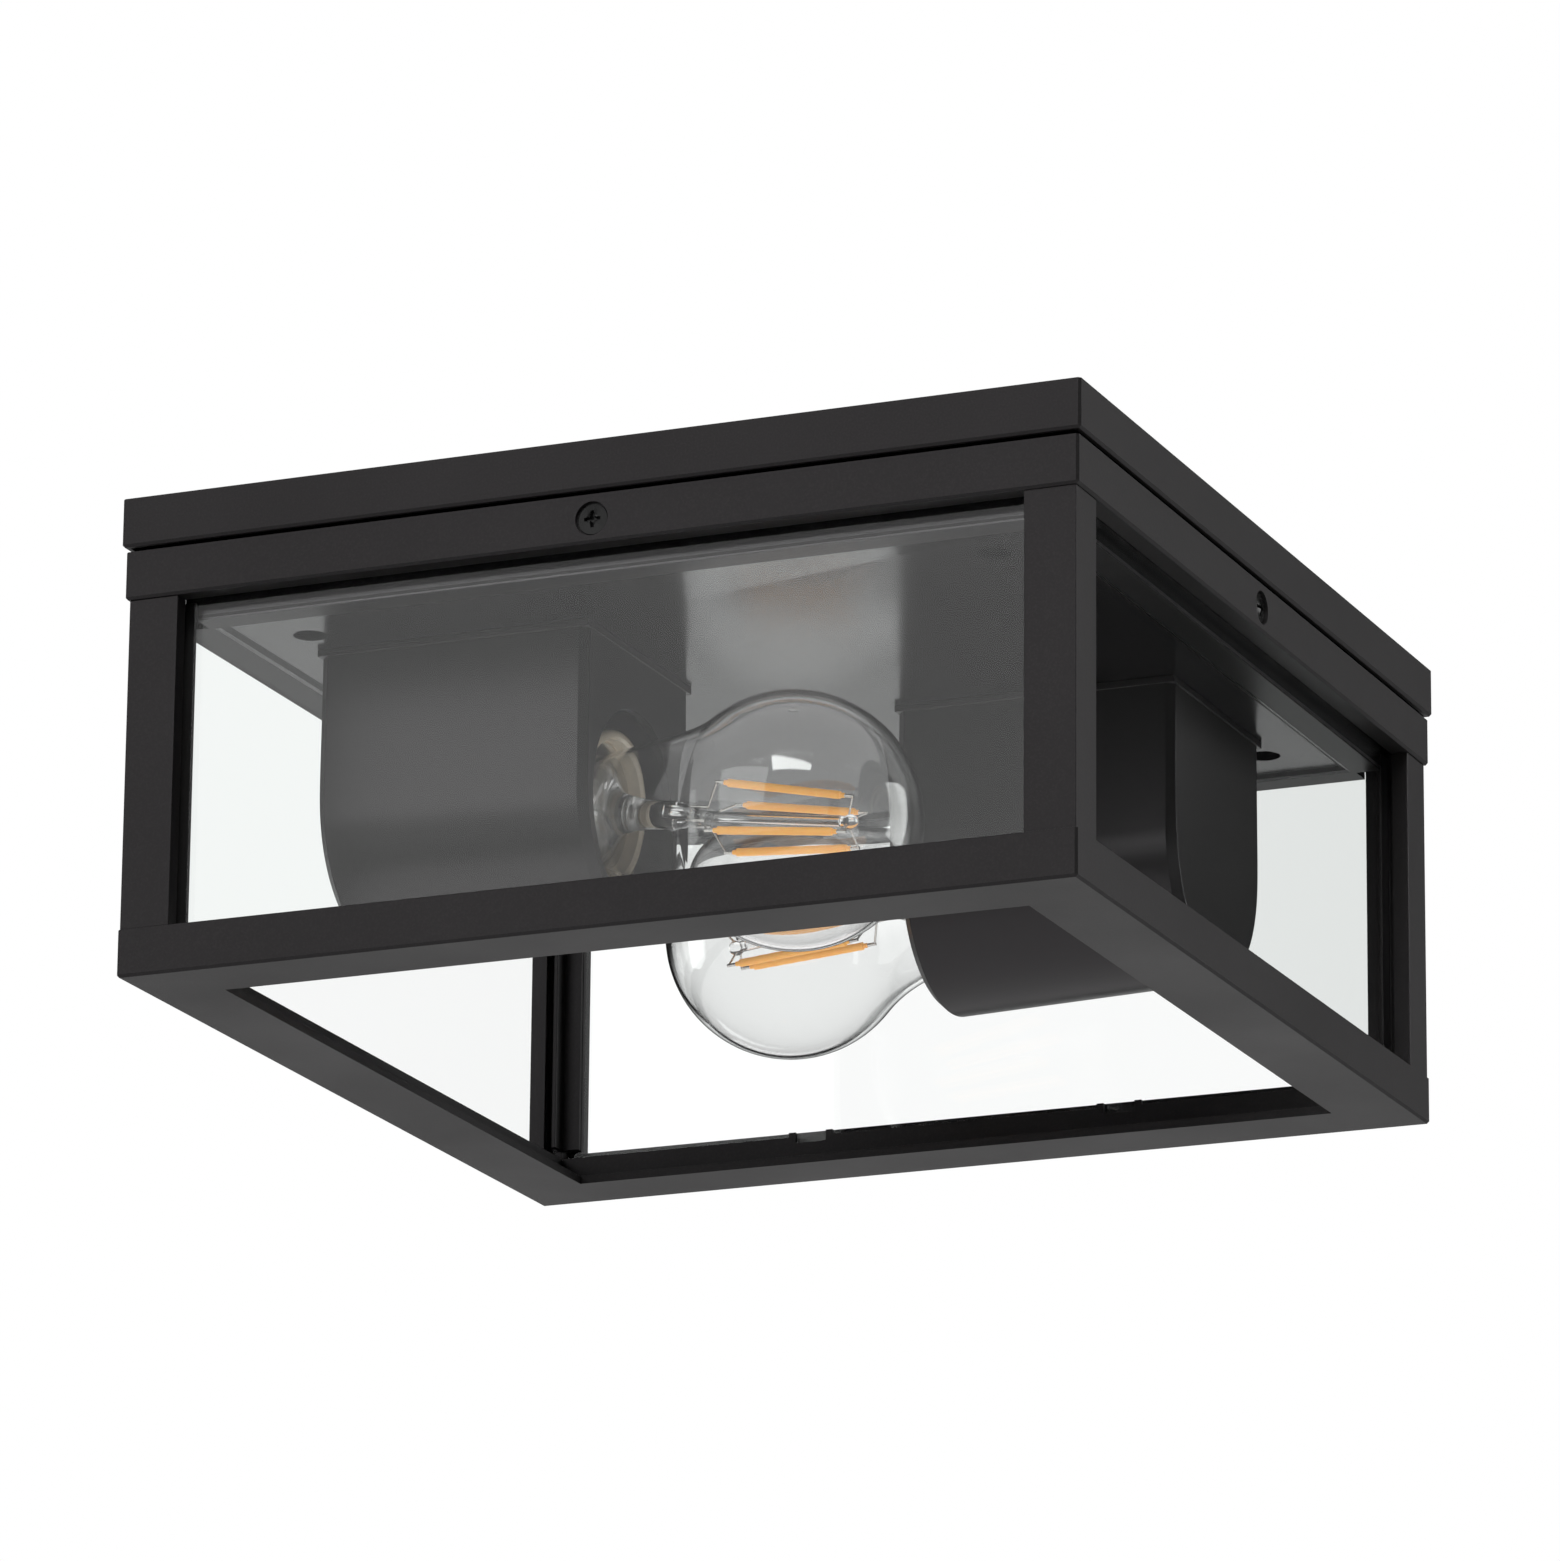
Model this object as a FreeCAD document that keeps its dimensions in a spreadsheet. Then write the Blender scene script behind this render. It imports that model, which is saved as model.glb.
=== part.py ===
# Porch ceiling lantern, in millimetres.
# A square metal tray is fixed to the ceiling.  A deep black base hangs from it, with two housings
# that each hold a lampholder and a lamp, head to tail.  A square frame of an upper ring, four
# extruded posts and a lower ring, glazed on its four sides and open below, is held up on the base
# by one screw in the middle of each side.
# Origin: centre of the ceiling face.  +Z up, so the lantern hangs towards -Z.  +X and +Y are square
# to the sides, and the first lamp points along +X.
import FreeCAD, Part
import math
import os
import Sketcher

Vector = FreeCAD.Vector
DOWN = Vector(0, 0, -1)
X_AXIS = Vector(1, 0, 0)
Y_AXIS = Vector(0, 1, 0)
Z_AXIS = Vector(0, 0, 1)
QUARTER_TURNS = (0, 90, 180, 270)
CORNER_SIGNS = ((-1, -1), (1, -1), (1, 1), (-1, 1))

doc = FreeCAD.newDocument("PorchLantern")

# ------------------------------------------------------------------ driving dimensions
# alias, value in millimetres or degrees, what it measures
SIZES = (
    ("tray_width", 236.0, "width of the ceiling tray, the widest piece"),
    ("tray_skirt", 11.6, "height of the tray's skirt"),
    ("sheet", 1.6, "wall of the tray"),
    ("lantern_depth", 113.7, "ceiling face to the underside of the lower ring"),
    ("shadow_gap", 1.1, "open line between tray and upper ring"),
    ("ring_step", 0.8, "upper ring set in from the tray, each side"),
    ("ring_height", 11.4, "height of the upper ring"),
    ("post_step", 1.7, "post faces set in from the tray, each side"),
    ("post_face", 12.3, "width of each post face"),
    ("foot_step", 1.3, "lower ring set in from the tray, each side"),
    ("foot_height", 11.2, "height of the lower ring"),
    ("foot_flange", 18.5, "width of the lower ring's flange, seen from below"),
    ("frame_wall", 2.0, "wall of rings and posts"),
    ("pane_thick", 3.0, "thickness of the glass"),
    ("pane_step", 6.2, "outer face of the glass in from the tray, each side"),
    ("pane_slack", 0.3, "play of the glass in its grooves"),
    ("pane_grip", 1.8, "glass tucked up behind the upper ring"),
    ("lip_wall", 1.2, "inner lips that keep the glass from falling in"),
    ("core_step", 1.2, "core of a post inside the inner face of the glass"),
    ("pane_end", 0.8, "end of a pane short of the post's core"),
    ("lip_reach", 7.2, "height of the lower ring's inner lip above its flange"),
    ("clip_place", 40.5, "glass clips each side of the middle of the lower ring"),
    ("clip_width", 8.0, "width of a clip's window"),
    ("clip_tooth", 1.8, "width of the teeth beside the window"),
    ("clip_rise", 1.2, "height of those teeth"),
    ("edge_round", 0.6, "eased outer edges of tray and rings"),
    ("rod_radius", 1.5, "tie rods through the posts"),
    ("rod_play", 0.2, "play of a tie rod in its post"),
    ("rod_bite", 6.0, "tie rod screwed into the lower ring"),
    ("base_wall", 2.5, "wall of the black base"),
    ("base_drop", 28.5, "ceiling face to the lowest rim of the base"),
    ("plate_rise", 1.3, "ceiling plate above that rim"),
    ("plate_thick", 2.0, "thickness of the ceiling plate"),
    ("rim_width", 7.0, "width of the rim round the plate"),
    ("rim_slope", 2.6, "width of the slope between rim and plate"),
    ("fixing_pitch", 170.0, "square of the four ceiling fixing holes"),
    ("fixing_hole", 2.5, "radius of those holes in the tray"),
    ("access_hole", 4.0, "radius of the holes in the plate, for screw and driver"),
    ("cable_hole", 11.0, "radius of the cable entry in the tray"),
    ("frame_screw_radius", 1.8, "screws that hold the frame up"),
    ("frame_screw_head", 3.7, "radius of their heads"),
    ("frame_screw_seat", 1.0, "depth of the seats that their heads lie in"),
    ("frame_screw_length", 11.0, "length of those screws"),
    ("lamp_offset", 44.6, "lamp axes in front of and behind the middle"),
    ("mouth_place", 20.0, "mouth of a lamp housing from the middle"),
    ("mouth_drop", 66.0, "lamp axis below the ceiling face at the mouth"),
    ("mouth_radius", 24.4, "round opening in the mouth"),
    ("lamp_tilt", 8.0, "fall of the lamp axis towards the bulb, degrees"),
    ("housing_length", 68.0, "length of a lamp housing"),
    ("housing_half", 29.2, "half its width, and radius of its underside"),
    ("housing_taper", 2.4, "rise of its underside towards the closed end"),
    ("housing_wall", 2.0, "its wall"),
    ("housing_round", 2.0, "its eased end edges"),
    ("collar_width", 1.6, "collar where a housing meets the plate"),
    ("bulb_radius", 30.0, "radius of the lamp's globe"),
    ("bulb_reach", 39.9, "centre of the globe in front of the mouth"),
    ("bulb_wall", 0.9, "glass of the globe"),
    ("bulb_throat", 34.0, "radius of the curve from globe to neck"),
    ("neck_radius", 12.9, "glass where it enters the cap"),
    ("cap_radius", 13.2, "screw cap of the lamp"),
    ("cap_length", 22.0, "length of its shell"),
    ("globe_to_cap", 49.5, "centre of the globe to the edge of the cap"),
    ("thread_play", 0.1, "cap in the threaded sleeve, radial"),
    ("sleeve_wall", 0.4, "wall of the threaded sleeve"),
    ("holder_wall", 5.7, "front collar of the lampholder outside its sleeve"),
    ("barrel_step", 1.8, "barrel of the lampholder inside that collar"),
    ("holder_setback", 6.0, "lampholder behind the mouth"),
    ("holder_length", 41.0, "length of the lampholder"),
    ("holder_screw_pitch", 11.0, "between the two screws in its back"),
    ("bracket_thick", 1.2, "steel of the lampholder's bracket"),
    ("bracket_width", 18.0, "width of that bracket"),
    ("small_screw", 1.4, "radius of the screws inside the base"),
    ("small_head", 2.7, "radius of their heads"),
    ("pillar_radius", 3.2, "pillars that take those screws"),
    ("pillar_inset", 4.6, "pillars of a housing in from its sides"),
    ("base_screw_place", 60.0, "screws from tray to base, from the middle both ways"),
    ("base_corner", 10.0, "corners of the base cut across"),
    ("boss_half", 5.0, "half width of the bosses for the frame screws"),
    ("boss_grip", 4.0, "those bosses above and below the screw, and inside the wall"),
    ("base_screw_length", 14.0, "screws from tray to base"),
    ("pillar_height", 10.0, "pillars inside a housing"),
    ("thread_depth", 8.0, "threaded holes in those pillars"),
    ("window_margin", 9.0, "wire windows in the plate, inside the housing's edge"),
    ("port_radius", 1.8, "wire ports of the terminal block"),
    ("terminal_length", 31.0, "terminal block"),
    ("terminal_width", 18.0, "its width"),
    ("terminal_height", 13.0, "its height"),
    ("filament_length", 30.0, "length of a filament"),
    ("filament_radius", 1.0, "its radius"),
    ("lead_radius", 0.3, "radius of the wires to the filaments"),
)


def fill_sheet():
    """Write the driving dimensions into a spreadsheet, one named cell each."""
    sheet = doc.addObject("Spreadsheet::Sheet", "Sizes")
    for row, (alias, value, note) in enumerate(SIZES, start=1):
        sheet.set(f"A{row}", note)
        sheet.set(f"B{row}", str(value))
        sheet.setAlias(f"B{row}", alias)
    doc.recompute()
    return sheet


sizes = fill_sheet()
ALIASES = [alias for alias, _value, _note in SIZES]

# Lengths and places that several pieces share, each worked out from the driving dimensions.
DERIVED = (
    ("tray_half", "tray_width / 2"),
    ("ring_half", "tray_width / 2 - ring_step"),
    ("post_half", "tray_width / 2 - post_step"),
    ("foot_half", "tray_width / 2 - foot_step"),
    ("opening_half", "tray_width / 2 - foot_step - foot_flange"),
    ("pane_outer", "tray_width / 2 - pane_step"),
    ("pane_inner", "tray_width / 2 - pane_step - pane_thick"),
    ("groove_outer", "tray_width / 2 - pane_step + pane_slack"),
    ("groove_inner", "tray_width / 2 - pane_step - pane_thick - pane_slack"),
    ("ring_top", "tray_skirt + shadow_gap"),
    ("ring_bottom", "tray_skirt + shadow_gap + ring_height"),
    ("foot_top", "lantern_depth - foot_height"),
    ("foot_floor", "lantern_depth - frame_wall"),
    ("pane_top", "tray_skirt + shadow_gap + ring_height - pane_grip"),
    ("core_inner", "tray_width / 2 - pane_step - pane_thick - core_step"),
    ("pane_half", "tray_width / 2 - pane_step - pane_thick - core_step - pane_end"),
    ("post_edge", "tray_width / 2 - post_step - post_face"),
    ("rod_place", "tray_width / 2 - (post_step + pane_step + pane_thick + core_step) / 2"),
    ("screw_drop", "tray_skirt + shadow_gap + ring_height / 2"),
    ("wall_half", "tray_width / 2 - pane_step + 0.2"),
    ("shoulder_drop", "tray_skirt + shadow_gap + ring_height - pane_grip - 0.4"),
    ("rim_outer", "tray_width / 2 - pane_step - pane_thick - 0.4"),
    ("rim_inner", "tray_width / 2 - pane_step - pane_thick - 0.4 - rim_width"),
    ("plate_drop", "base_drop - plate_rise"),
    ("plate_back", "base_drop - plate_rise - plate_thick"),
    ("fixing_half", "fixing_pitch / 2"),
    ("cap_front", "bulb_reach - globe_to_cap"),
    ("cap_back", "bulb_reach - globe_to_cap - cap_length"),
    ("sleeve_bore", "cap_radius + thread_play"),
    ("sleeve_outer", "cap_radius + thread_play + sleeve_wall"),
    ("holder_radius", "cap_radius + thread_play + sleeve_wall + holder_wall"),
    ("holder_back", "-holder_setback - holder_length"),
    ("bracket_screw_place", "mouth_place + housing_length - housing_wall - 4"),
)


DERIVED_NAMES = [alias for alias, _expression in DERIVED]


def qualified(expression):
    """Return the expression with each alias written as a reference to its sheet."""
    words = []
    word = ""
    for letter in str(expression) + " ":
        if letter.isalnum() or letter in "_.":
            word += letter
            continue
        if word in ALIASES:
            words.append(f"Sizes.{word}")
        elif word in DERIVED_NAMES:
            words.append(f"Places.{word}")
        else:
            words.append(word)
        words.append(letter)
        word = ""
    return "".join(words).strip()


def fill_places():
    """Write the shared places into a second sheet, as formulas of the first."""
    sheet = doc.addObject("Spreadsheet::Sheet", "Places")
    for row, (alias, expression) in enumerate(DERIVED, start=1):
        sheet.set(f"A{row}", alias)
        sheet.set(f"B{row}", "=" + qualified(expression))
        sheet.setAlias(f"B{row}", alias)
    doc.recompute()
    return sheet


places = fill_places()


def value(expression):
    """Return the number that an expression of the named sizes has now."""
    return float(sizes.evalExpression(qualified(expression)))


# ------------------------------------------------------------------ sketch and feature helpers
def bind(target, attribute, expression):
    """Set a property from the sheet, now and whenever a size changes."""
    target.setExpression(attribute, qualified(expression))


def new_body(label):
    """Start a body whose label names the piece."""
    body = doc.addObject("PartDesign::Body", label)
    body.Label = label
    return body


def sketch_on(body, role="XY_Plane", lift="0"):
    """Start a sketch on one of the body's own planes, lifted along that plane's normal."""
    plane = [item for item in body.Origin.OriginFeatures if item.Role == role][0]
    sketch = body.newObject("Sketcher::SketchObject", body.Name + "_sketch")
    sketch.AttachmentSupport = [(plane, "")]
    sketch.MapMode = "FlatFace"
    bind(sketch, "AttachmentOffset.Base.z", lift)
    return sketch


def pin(sketch, geometry, point, across, up):
    """Dimension one point of the sketch from its origin."""
    for kind, axis, expression in (("DistanceX", -2, across), ("DistanceY", -1, up)):
        if str(expression) == "0":
            sketch.addConstraint(Sketcher.Constraint("PointOnObject", geometry, point, axis))
            continue
        now = value(expression)
        index = sketch.addConstraint(Sketcher.Constraint(kind, -1, 1, geometry, point, now))
        name = f"{kind}_{geometry}_{point}"
        sketch.renameConstraint(index, name)
        bind(sketch, "Constraints." + name, expression)


def polygon(sketch, corners):
    """Draw a closed outline through corners given as pairs of expressions."""
    points = [Vector(value(across), value(up), 0) for across, up in corners]
    count = len(points)
    first = sketch.GeometryCount
    for number in range(count):
        sketch.addGeometry(Part.LineSegment(points[number], points[(number + 1) % count]), False)
    for number in range(count):
        after = first + (number + 1) % count
        sketch.addConstraint(Sketcher.Constraint("Coincident", first + number, 2, after, 1))
    for number, (across, up) in enumerate(corners):
        pin(sketch, first + number, 1, across, up)


def rectangle(sketch, half_across, half_up, across="0", up="0"):
    """Draw a rectangle by its half sizes and its centre."""
    polygon(sketch, [
        (f"{across} - ({half_across})", f"{up} - ({half_up})"),
        (f"{across} + ({half_across})", f"{up} - ({half_up})"),
        (f"{across} + ({half_across})", f"{up} + ({half_up})"),
        (f"{across} - ({half_across})", f"{up} + ({half_up})"),
    ])


def octagon(sketch, half, straight):
    """Draw a square of that half width whose sides end at straight, with the corners cut across."""
    corners = [(straight, half), (half, straight)]
    outline = []
    for turn in range(4):
        for across, up in corners:
            for _step in range(turn):
                across, up = up, f"-({across})"
            outline.append((across, up))
    polygon(sketch, outline)


def circle(sketch, radius, across="0", up="0"):
    """Draw a circle by its radius and its centre."""
    centre = Vector(value(across), value(up), 0)
    number = sketch.addGeometry(Part.Circle(centre, Z_AXIS, value(radius)), False)
    index = sketch.addConstraint(Sketcher.Constraint("Radius", number, value(radius)))
    name = f"Radius_{number}"
    sketch.renameConstraint(index, name)
    bind(sketch, "Constraints." + name, radius)
    pin(sketch, number, 3, across, up)


def pad(body, sketch, length, up=False):
    """Raise a sketch into a solid, downwards unless told otherwise."""
    feature = body.newObject("PartDesign::Pad", body.Name + "_pad")
    feature.Profile = sketch
    feature.Reversed = not up
    bind(feature, "Length", length)
    return feature


def pocket(body, sketch, length, up=False):
    """Cut a sketch into the solid, downwards unless told otherwise."""
    feature = body.newObject("PartDesign::Pocket", body.Name + "_pocket")
    feature.Profile = sketch
    feature.Reversed = up
    bind(feature, "Length", length)
    return feature


def turn_round(body, sketch, kind="PartDesign::Revolution"):
    """Turn a sketch right round its own horizontal axis."""
    feature = body.newObject(kind, body.Name + "_turned")
    feature.Profile = sketch
    feature.ReferenceAxis = (sketch, ["H_Axis"])
    feature.Angle = 360.0
    return feature


def ease_edges(body, base, size, wanted, kind="PartDesign::Chamfer"):
    """Chamfer, or round, the edges of a feature that pass a test."""
    doc.recompute()
    names = []
    for number, edge in enumerate(base.Shape.Edges, start=1):
        if wanted(edge):
            names.append(f"Edge{number}")
    feature = body.newObject(kind, body.Name + "_eased")
    feature.Base = (base, names)
    bind(feature, "Size" if kind.endswith("Chamfer") else "Radius", size)
    return feature


def is_upright(edge):
    """Tell whether an edge runs along Z."""
    first, last = edge.Vertexes[0].Point, edge.Vertexes[-1].Point
    return abs(first.x - last.x) < 1e-6 and abs(first.y - last.y) < 1e-6 and len(edge.Vertexes) == 2


def middle(edge):
    """Return the point half way along an edge."""
    return edge.valueAt((edge.FirstParameter + edge.LastParameter) / 2)


def outermost(half):
    """Return a test for upright edges at the outer corners of a square of that half width."""
    def wanted(edge):
        point = middle(edge)
        on_corner = abs(abs(point.x) - half) < 1e-4 and abs(abs(point.y) - half) < 1e-4
        return is_upright(edge) and on_corner
    return wanted


def turned_piece(label, corners):
    """Turn an outline, given as distance along X and radius, into a round piece."""
    body = new_body(label)
    sketch = sketch_on(body)
    polygon(sketch, corners)
    turn_round(body, sketch)
    return body


def primitive(kind, label, **lengths):
    """Add a primitive solid whose sizes are expressions."""
    solid = doc.addObject("Part::" + kind, label)
    for name, expression in lengths.items():
        bind(solid, name, expression)
    return solid


def place(item, across="0", along="0", up="0", rotation=None):
    """Put a piece at a point given by expressions, turned as given."""
    turned = rotation or FreeCAD.Rotation()
    item.Placement = FreeCAD.Placement(Vector(value(across), value(along), value(up)), turned)
    bind(item, "Placement.Base.x", across)
    bind(item, "Placement.Base.y", along)
    bind(item, "Placement.Base.z", up)
    return item


def grouped(label, items):
    """Gather identical pieces, as separate solids, under one label."""
    group = doc.addObject("Part::Compound", label)
    group.Links = items
    group.Label = label
    return group


def lamp_placement(turn):
    """Return the place of a lamp axis: at the housing's mouth, falling towards the bulb."""
    mouth = Vector(-value("mouth_place"), -value("lamp_offset"), -value("mouth_drop"))
    fall = FreeCAD.Rotation(Y_AXIS, value("lamp_tilt"))
    about_middle = FreeCAD.Placement(Vector(0, 0, 0), FreeCAD.Rotation(Z_AXIS, turn))
    return about_middle * FreeCAD.Placement(mouth, fall)


def side_placement(turn):
    """Return the turn that carries a piece made on the -Y side to another side."""
    return FreeCAD.Placement(Vector(0, 0, 0), FreeCAD.Rotation(Z_AXIS, turn))


# ------------------------------------------------------------------ tray and base
def make_tray():
    """Pressed metal tray: a flat back against the ceiling and a short skirt all round."""
    body = new_body("ceiling_tray")
    outline = sketch_on(body)
    rectangle(outline, "tray_half", "tray_half")
    block = pad(body, outline, "tray_skirt")
    half = value("tray_half")
    depth = value("tray_skirt")

    def outer_edge(edge):
        point = middle(edge)
        at_rim = abs(point.z + depth) < 1e-4
        return at_rim or outermost(half)(edge)

    ease_edges(body, block, "edge_round", outer_edge)
    hollow = sketch_on(body, lift="-tray_skirt")
    rectangle(hollow, "tray_half - sheet", "tray_half - sheet")
    pocket(body, hollow, "tray_skirt - sheet", up=True)
    holes = sketch_on(body, lift="-sheet")
    circle(holes, "cable_hole")
    for across, along in CORNER_SIGNS:
        circle(holes, "fixing_hole", f"{across} * fixing_half", f"{along} * fixing_half")
    pocket(body, holes, "sheet", up=True)
    for sign in (-1, 1):
        sink = body.newObject("PartDesign::SubtractiveCone", "tray_sink")
        bind(sink, "Radius1", "small_screw + 0.1")
        bind(sink, "Radius2", "small_head + 0.1")
        bind(sink, "Height", "sheet")
        place(sink, f"{sign} * base_screw_place", f"-({sign}) * base_screw_place", "-sheet")
    return body


def make_grommet():
    """Rubber grommet in the tray's cable entry, with a thin membrane to push the cable through."""
    grommet = turned_piece("cable_grommet", [
        ("-sheet - 1.5", "0"), ("-sheet - 1.5", "cable_hole + 2.5"), ("-sheet", "cable_hole + 2.5"),
        ("-sheet", "cable_hole"), ("0", "cable_hole"), ("0", "cable_hole - 2"),
        ("-sheet - 0.5", "cable_hole - 3"), ("-sheet - 0.5", "0"),
    ])
    grommet.Placement = FreeCAD.Placement(Vector(0, 0, 0), FreeCAD.Rotation(X_AXIS, Z_AXIS))
    return grommet


def make_base():
    """Deep moulded base: open to the ceiling, closed below by the plate that shows."""
    body = new_body("inner_base")
    upper = sketch_on(body, lift="-sheet")
    octagon(upper, "wall_half", "wall_half - base_corner")
    pad(body, upper, "shoulder_drop - sheet")
    rim = sketch_on(body, lift="-shoulder_drop")
    notch = "post_edge - 1.6"
    polygon(rim, notched_square("rim_outer", notch))
    pad(body, rim, "base_drop - shoulder_drop")
    recess_low = sketch_on(body, lift="-base_drop")
    rectangle(recess_low, "rim_inner", "rim_inner")
    recess_high = sketch_on(body, lift="-plate_drop")
    rectangle(recess_high, "rim_inner - rim_slope", "rim_inner - rim_slope")
    recess = body.newObject("PartDesign::SubtractiveLoft", "base_recess")
    recess.Profile = recess_low
    recess.Sections = [recess_high]
    recess.Ruled = True
    wide = sketch_on(body, lift="-sheet")
    octagon(wide, "wall_half - base_wall", "wall_half - base_wall - base_corner")
    pocket(body, wide, "shoulder_drop - base_wall - sheet")
    narrow = sketch_on(body, lift="-(shoulder_drop - base_wall)")
    octagon(narrow, "rim_outer - base_wall", "rim_outer - base_wall - base_corner - 1")
    pocket(body, narrow, "plate_back - shoulder_drop + base_wall")
    for across, along in CORNER_SIGNS:
        boss = sketch_on(body, lift="-sheet")
        circle(boss, "access_hole + base_wall", f"{across} * fixing_half", f"{along} * fixing_half")
        pad(body, boss, "plate_back - sheet + plate_thick / 2")
    for across, along in ((1, 0), (0, 1), (-1, 0), (0, -1)):
        # a threaded boss behind the middle of each side takes the frame screw
        boss = sketch_on(body, lift="-(screw_drop - boss_grip)")
        middle_place = "(wall_half - base_wall - boss_grip + ring_half - frame_wall - pane_slack) / 2"
        reach = "(ring_half - frame_wall - pane_slack - wall_half + base_wall + boss_grip) / 2"
        sizes_here = (reach, "boss_half") if across else ("boss_half", reach)
        rectangle(boss, sizes_here[0], sizes_here[1],
                  f"{across} * {middle_place}" if across else "0",
                  f"{along} * {middle_place}" if along else "0")
        pad(body, boss, "min(2 * boss_grip; shoulder_drop - screw_drop + boss_grip)")
    for sign in (-1, 1):
        # a pillar from the plate up to the tray takes a screw through the tray
        spot = (f"{sign} * base_screw_place", f"-({sign}) * base_screw_place")
        pillar = sketch_on(body, lift="-sheet")
        circle(pillar, "pillar_radius + 1", *spot)
        pad(body, pillar, "plate_back - sheet + plate_thick / 2")
        thread = sketch_on(body, lift="-sheet")
        circle(thread, "small_screw + 0.05", *spot)
        pocket(body, thread, "base_screw_length")
    access = sketch_on(body, lift="-base_drop")
    for across, along in CORNER_SIGNS:
        circle(access, "access_hole", f"{across} * fixing_half", f"{along} * fixing_half")
    pocket(body, access, "base_drop - sheet - base_wall", up=True)
    fixing = sketch_on(body, lift="-sheet")
    for across, along in CORNER_SIGNS:
        circle(fixing, "fixing_hole", f"{across} * fixing_half", f"{along} * fixing_half")
    pocket(body, fixing, "2 * base_wall")
    windows = sketch_on(body, lift="-plate_back")
    for sign in (-1, 1):
        rectangle(windows, "housing_length / 2 - window_margin", "housing_half - window_margin",
                  f"{sign} * (mouth_place + housing_length / 2)", f"{sign} * lamp_offset")
    pocket(body, windows, "plate_thick")
    passages = sketch_on(body, lift="-plate_back")
    circle(passages, "small_screw + 0.1")
    for sign in (-1, 1):
        for across, along in housing_screw_places():
            circle(passages, "small_screw + 0.1", f"{sign} * ({across})", f"{sign} * ({along})")
        circle(passages, "small_screw + 0.1", f"-({sign}) * bracket_screw_place",
               f"-({sign}) * lamp_offset")
    pocket(body, passages, "plate_thick")
    for role in ("XZ_Plane", "YZ_Plane"):
        bore = sketch_on(body, role=role)
        circle(bore, "frame_screw_radius + 0.05", "0", "-screw_drop")
        cut = pocket(body, bore, "2 * tray_half")
        cut.Midplane = True
    return body


def housing_screw_places():
    """Return where the first housing's two screws, at opposite corners, pass the plate."""
    near = "-(mouth_place + pillar_inset)"
    far = "-(mouth_place + housing_length - pillar_inset)"
    side = "(housing_half - pillar_inset)"
    return [(near, f"-lamp_offset - {side}"), (far, f"-lamp_offset + {side}")]


def notched_square(half, notch):
    """Return the corners of a square with a small square cut out of each corner."""
    outline = []
    for turn in range(4):
        for across, up in ((notch, half), (notch, notch), (half, notch)):
            for _step in range(turn):
                across, up = up, f"-({across})"
            outline.append((across, up))
    return outline


# ------------------------------------------------------------------ frame and glass
def make_upper_ring():
    """Upper ring: a wall that hides the base, a lip over the glass and a gusset over each post."""
    body = new_body("upper_ring")
    outline = sketch_on(body, lift="-ring_top")
    rectangle(outline, "ring_half", "ring_half")
    block = pad(body, outline, "ring_height")
    half = value("ring_half")

    def outer_edge(edge):
        low = abs(middle(edge).z + value("ring_bottom")) < 1e-4
        return low or outermost(half)(edge)

    ease_edges(body, block, "edge_round", outer_edge)
    hollow = sketch_on(body, lift="-ring_top")
    octagon(hollow, "ring_half - frame_wall", "ring_half - frame_wall - 0.1")
    pocket(body, hollow, "ring_height - frame_wall")
    mouth = sketch_on(body, lift="-ring_top")
    polygon(mouth, notched_square("groove_outer", "core_inner"))
    pocket(body, mouth, "ring_height")
    rods = sketch_on(body, lift="-ring_top")
    for across, along in CORNER_SIGNS:
        circle(rods, "rod_radius + rod_play", f"{across} * rod_place", f"{along} * rod_place")
    pocket(body, rods, "ring_height")
    for role in ("XZ_Plane", "YZ_Plane"):
        bore = sketch_on(body, role=role)
        circle(bore, "frame_screw_radius + 0.2", "0", "-screw_drop")
        cut = pocket(body, bore, "2 * tray_half")
        cut.Midplane = True
    for turn in QUARTER_TURNS:
        # seat for the screw head, sunk into the wall
        role = "XZ_Plane" if turn in (0, 180) else "YZ_Plane"
        sign = 1 if turn in (0, 90) else -1
        seat = sketch_on(body, role=role, lift=f"{sign} * (ring_half - frame_screw_seat)")
        circle(seat, "frame_screw_head + 0.3", "0", "-screw_drop")
        pocket(body, seat, "frame_screw_seat", up=(sign > 0))
    return body


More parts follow.
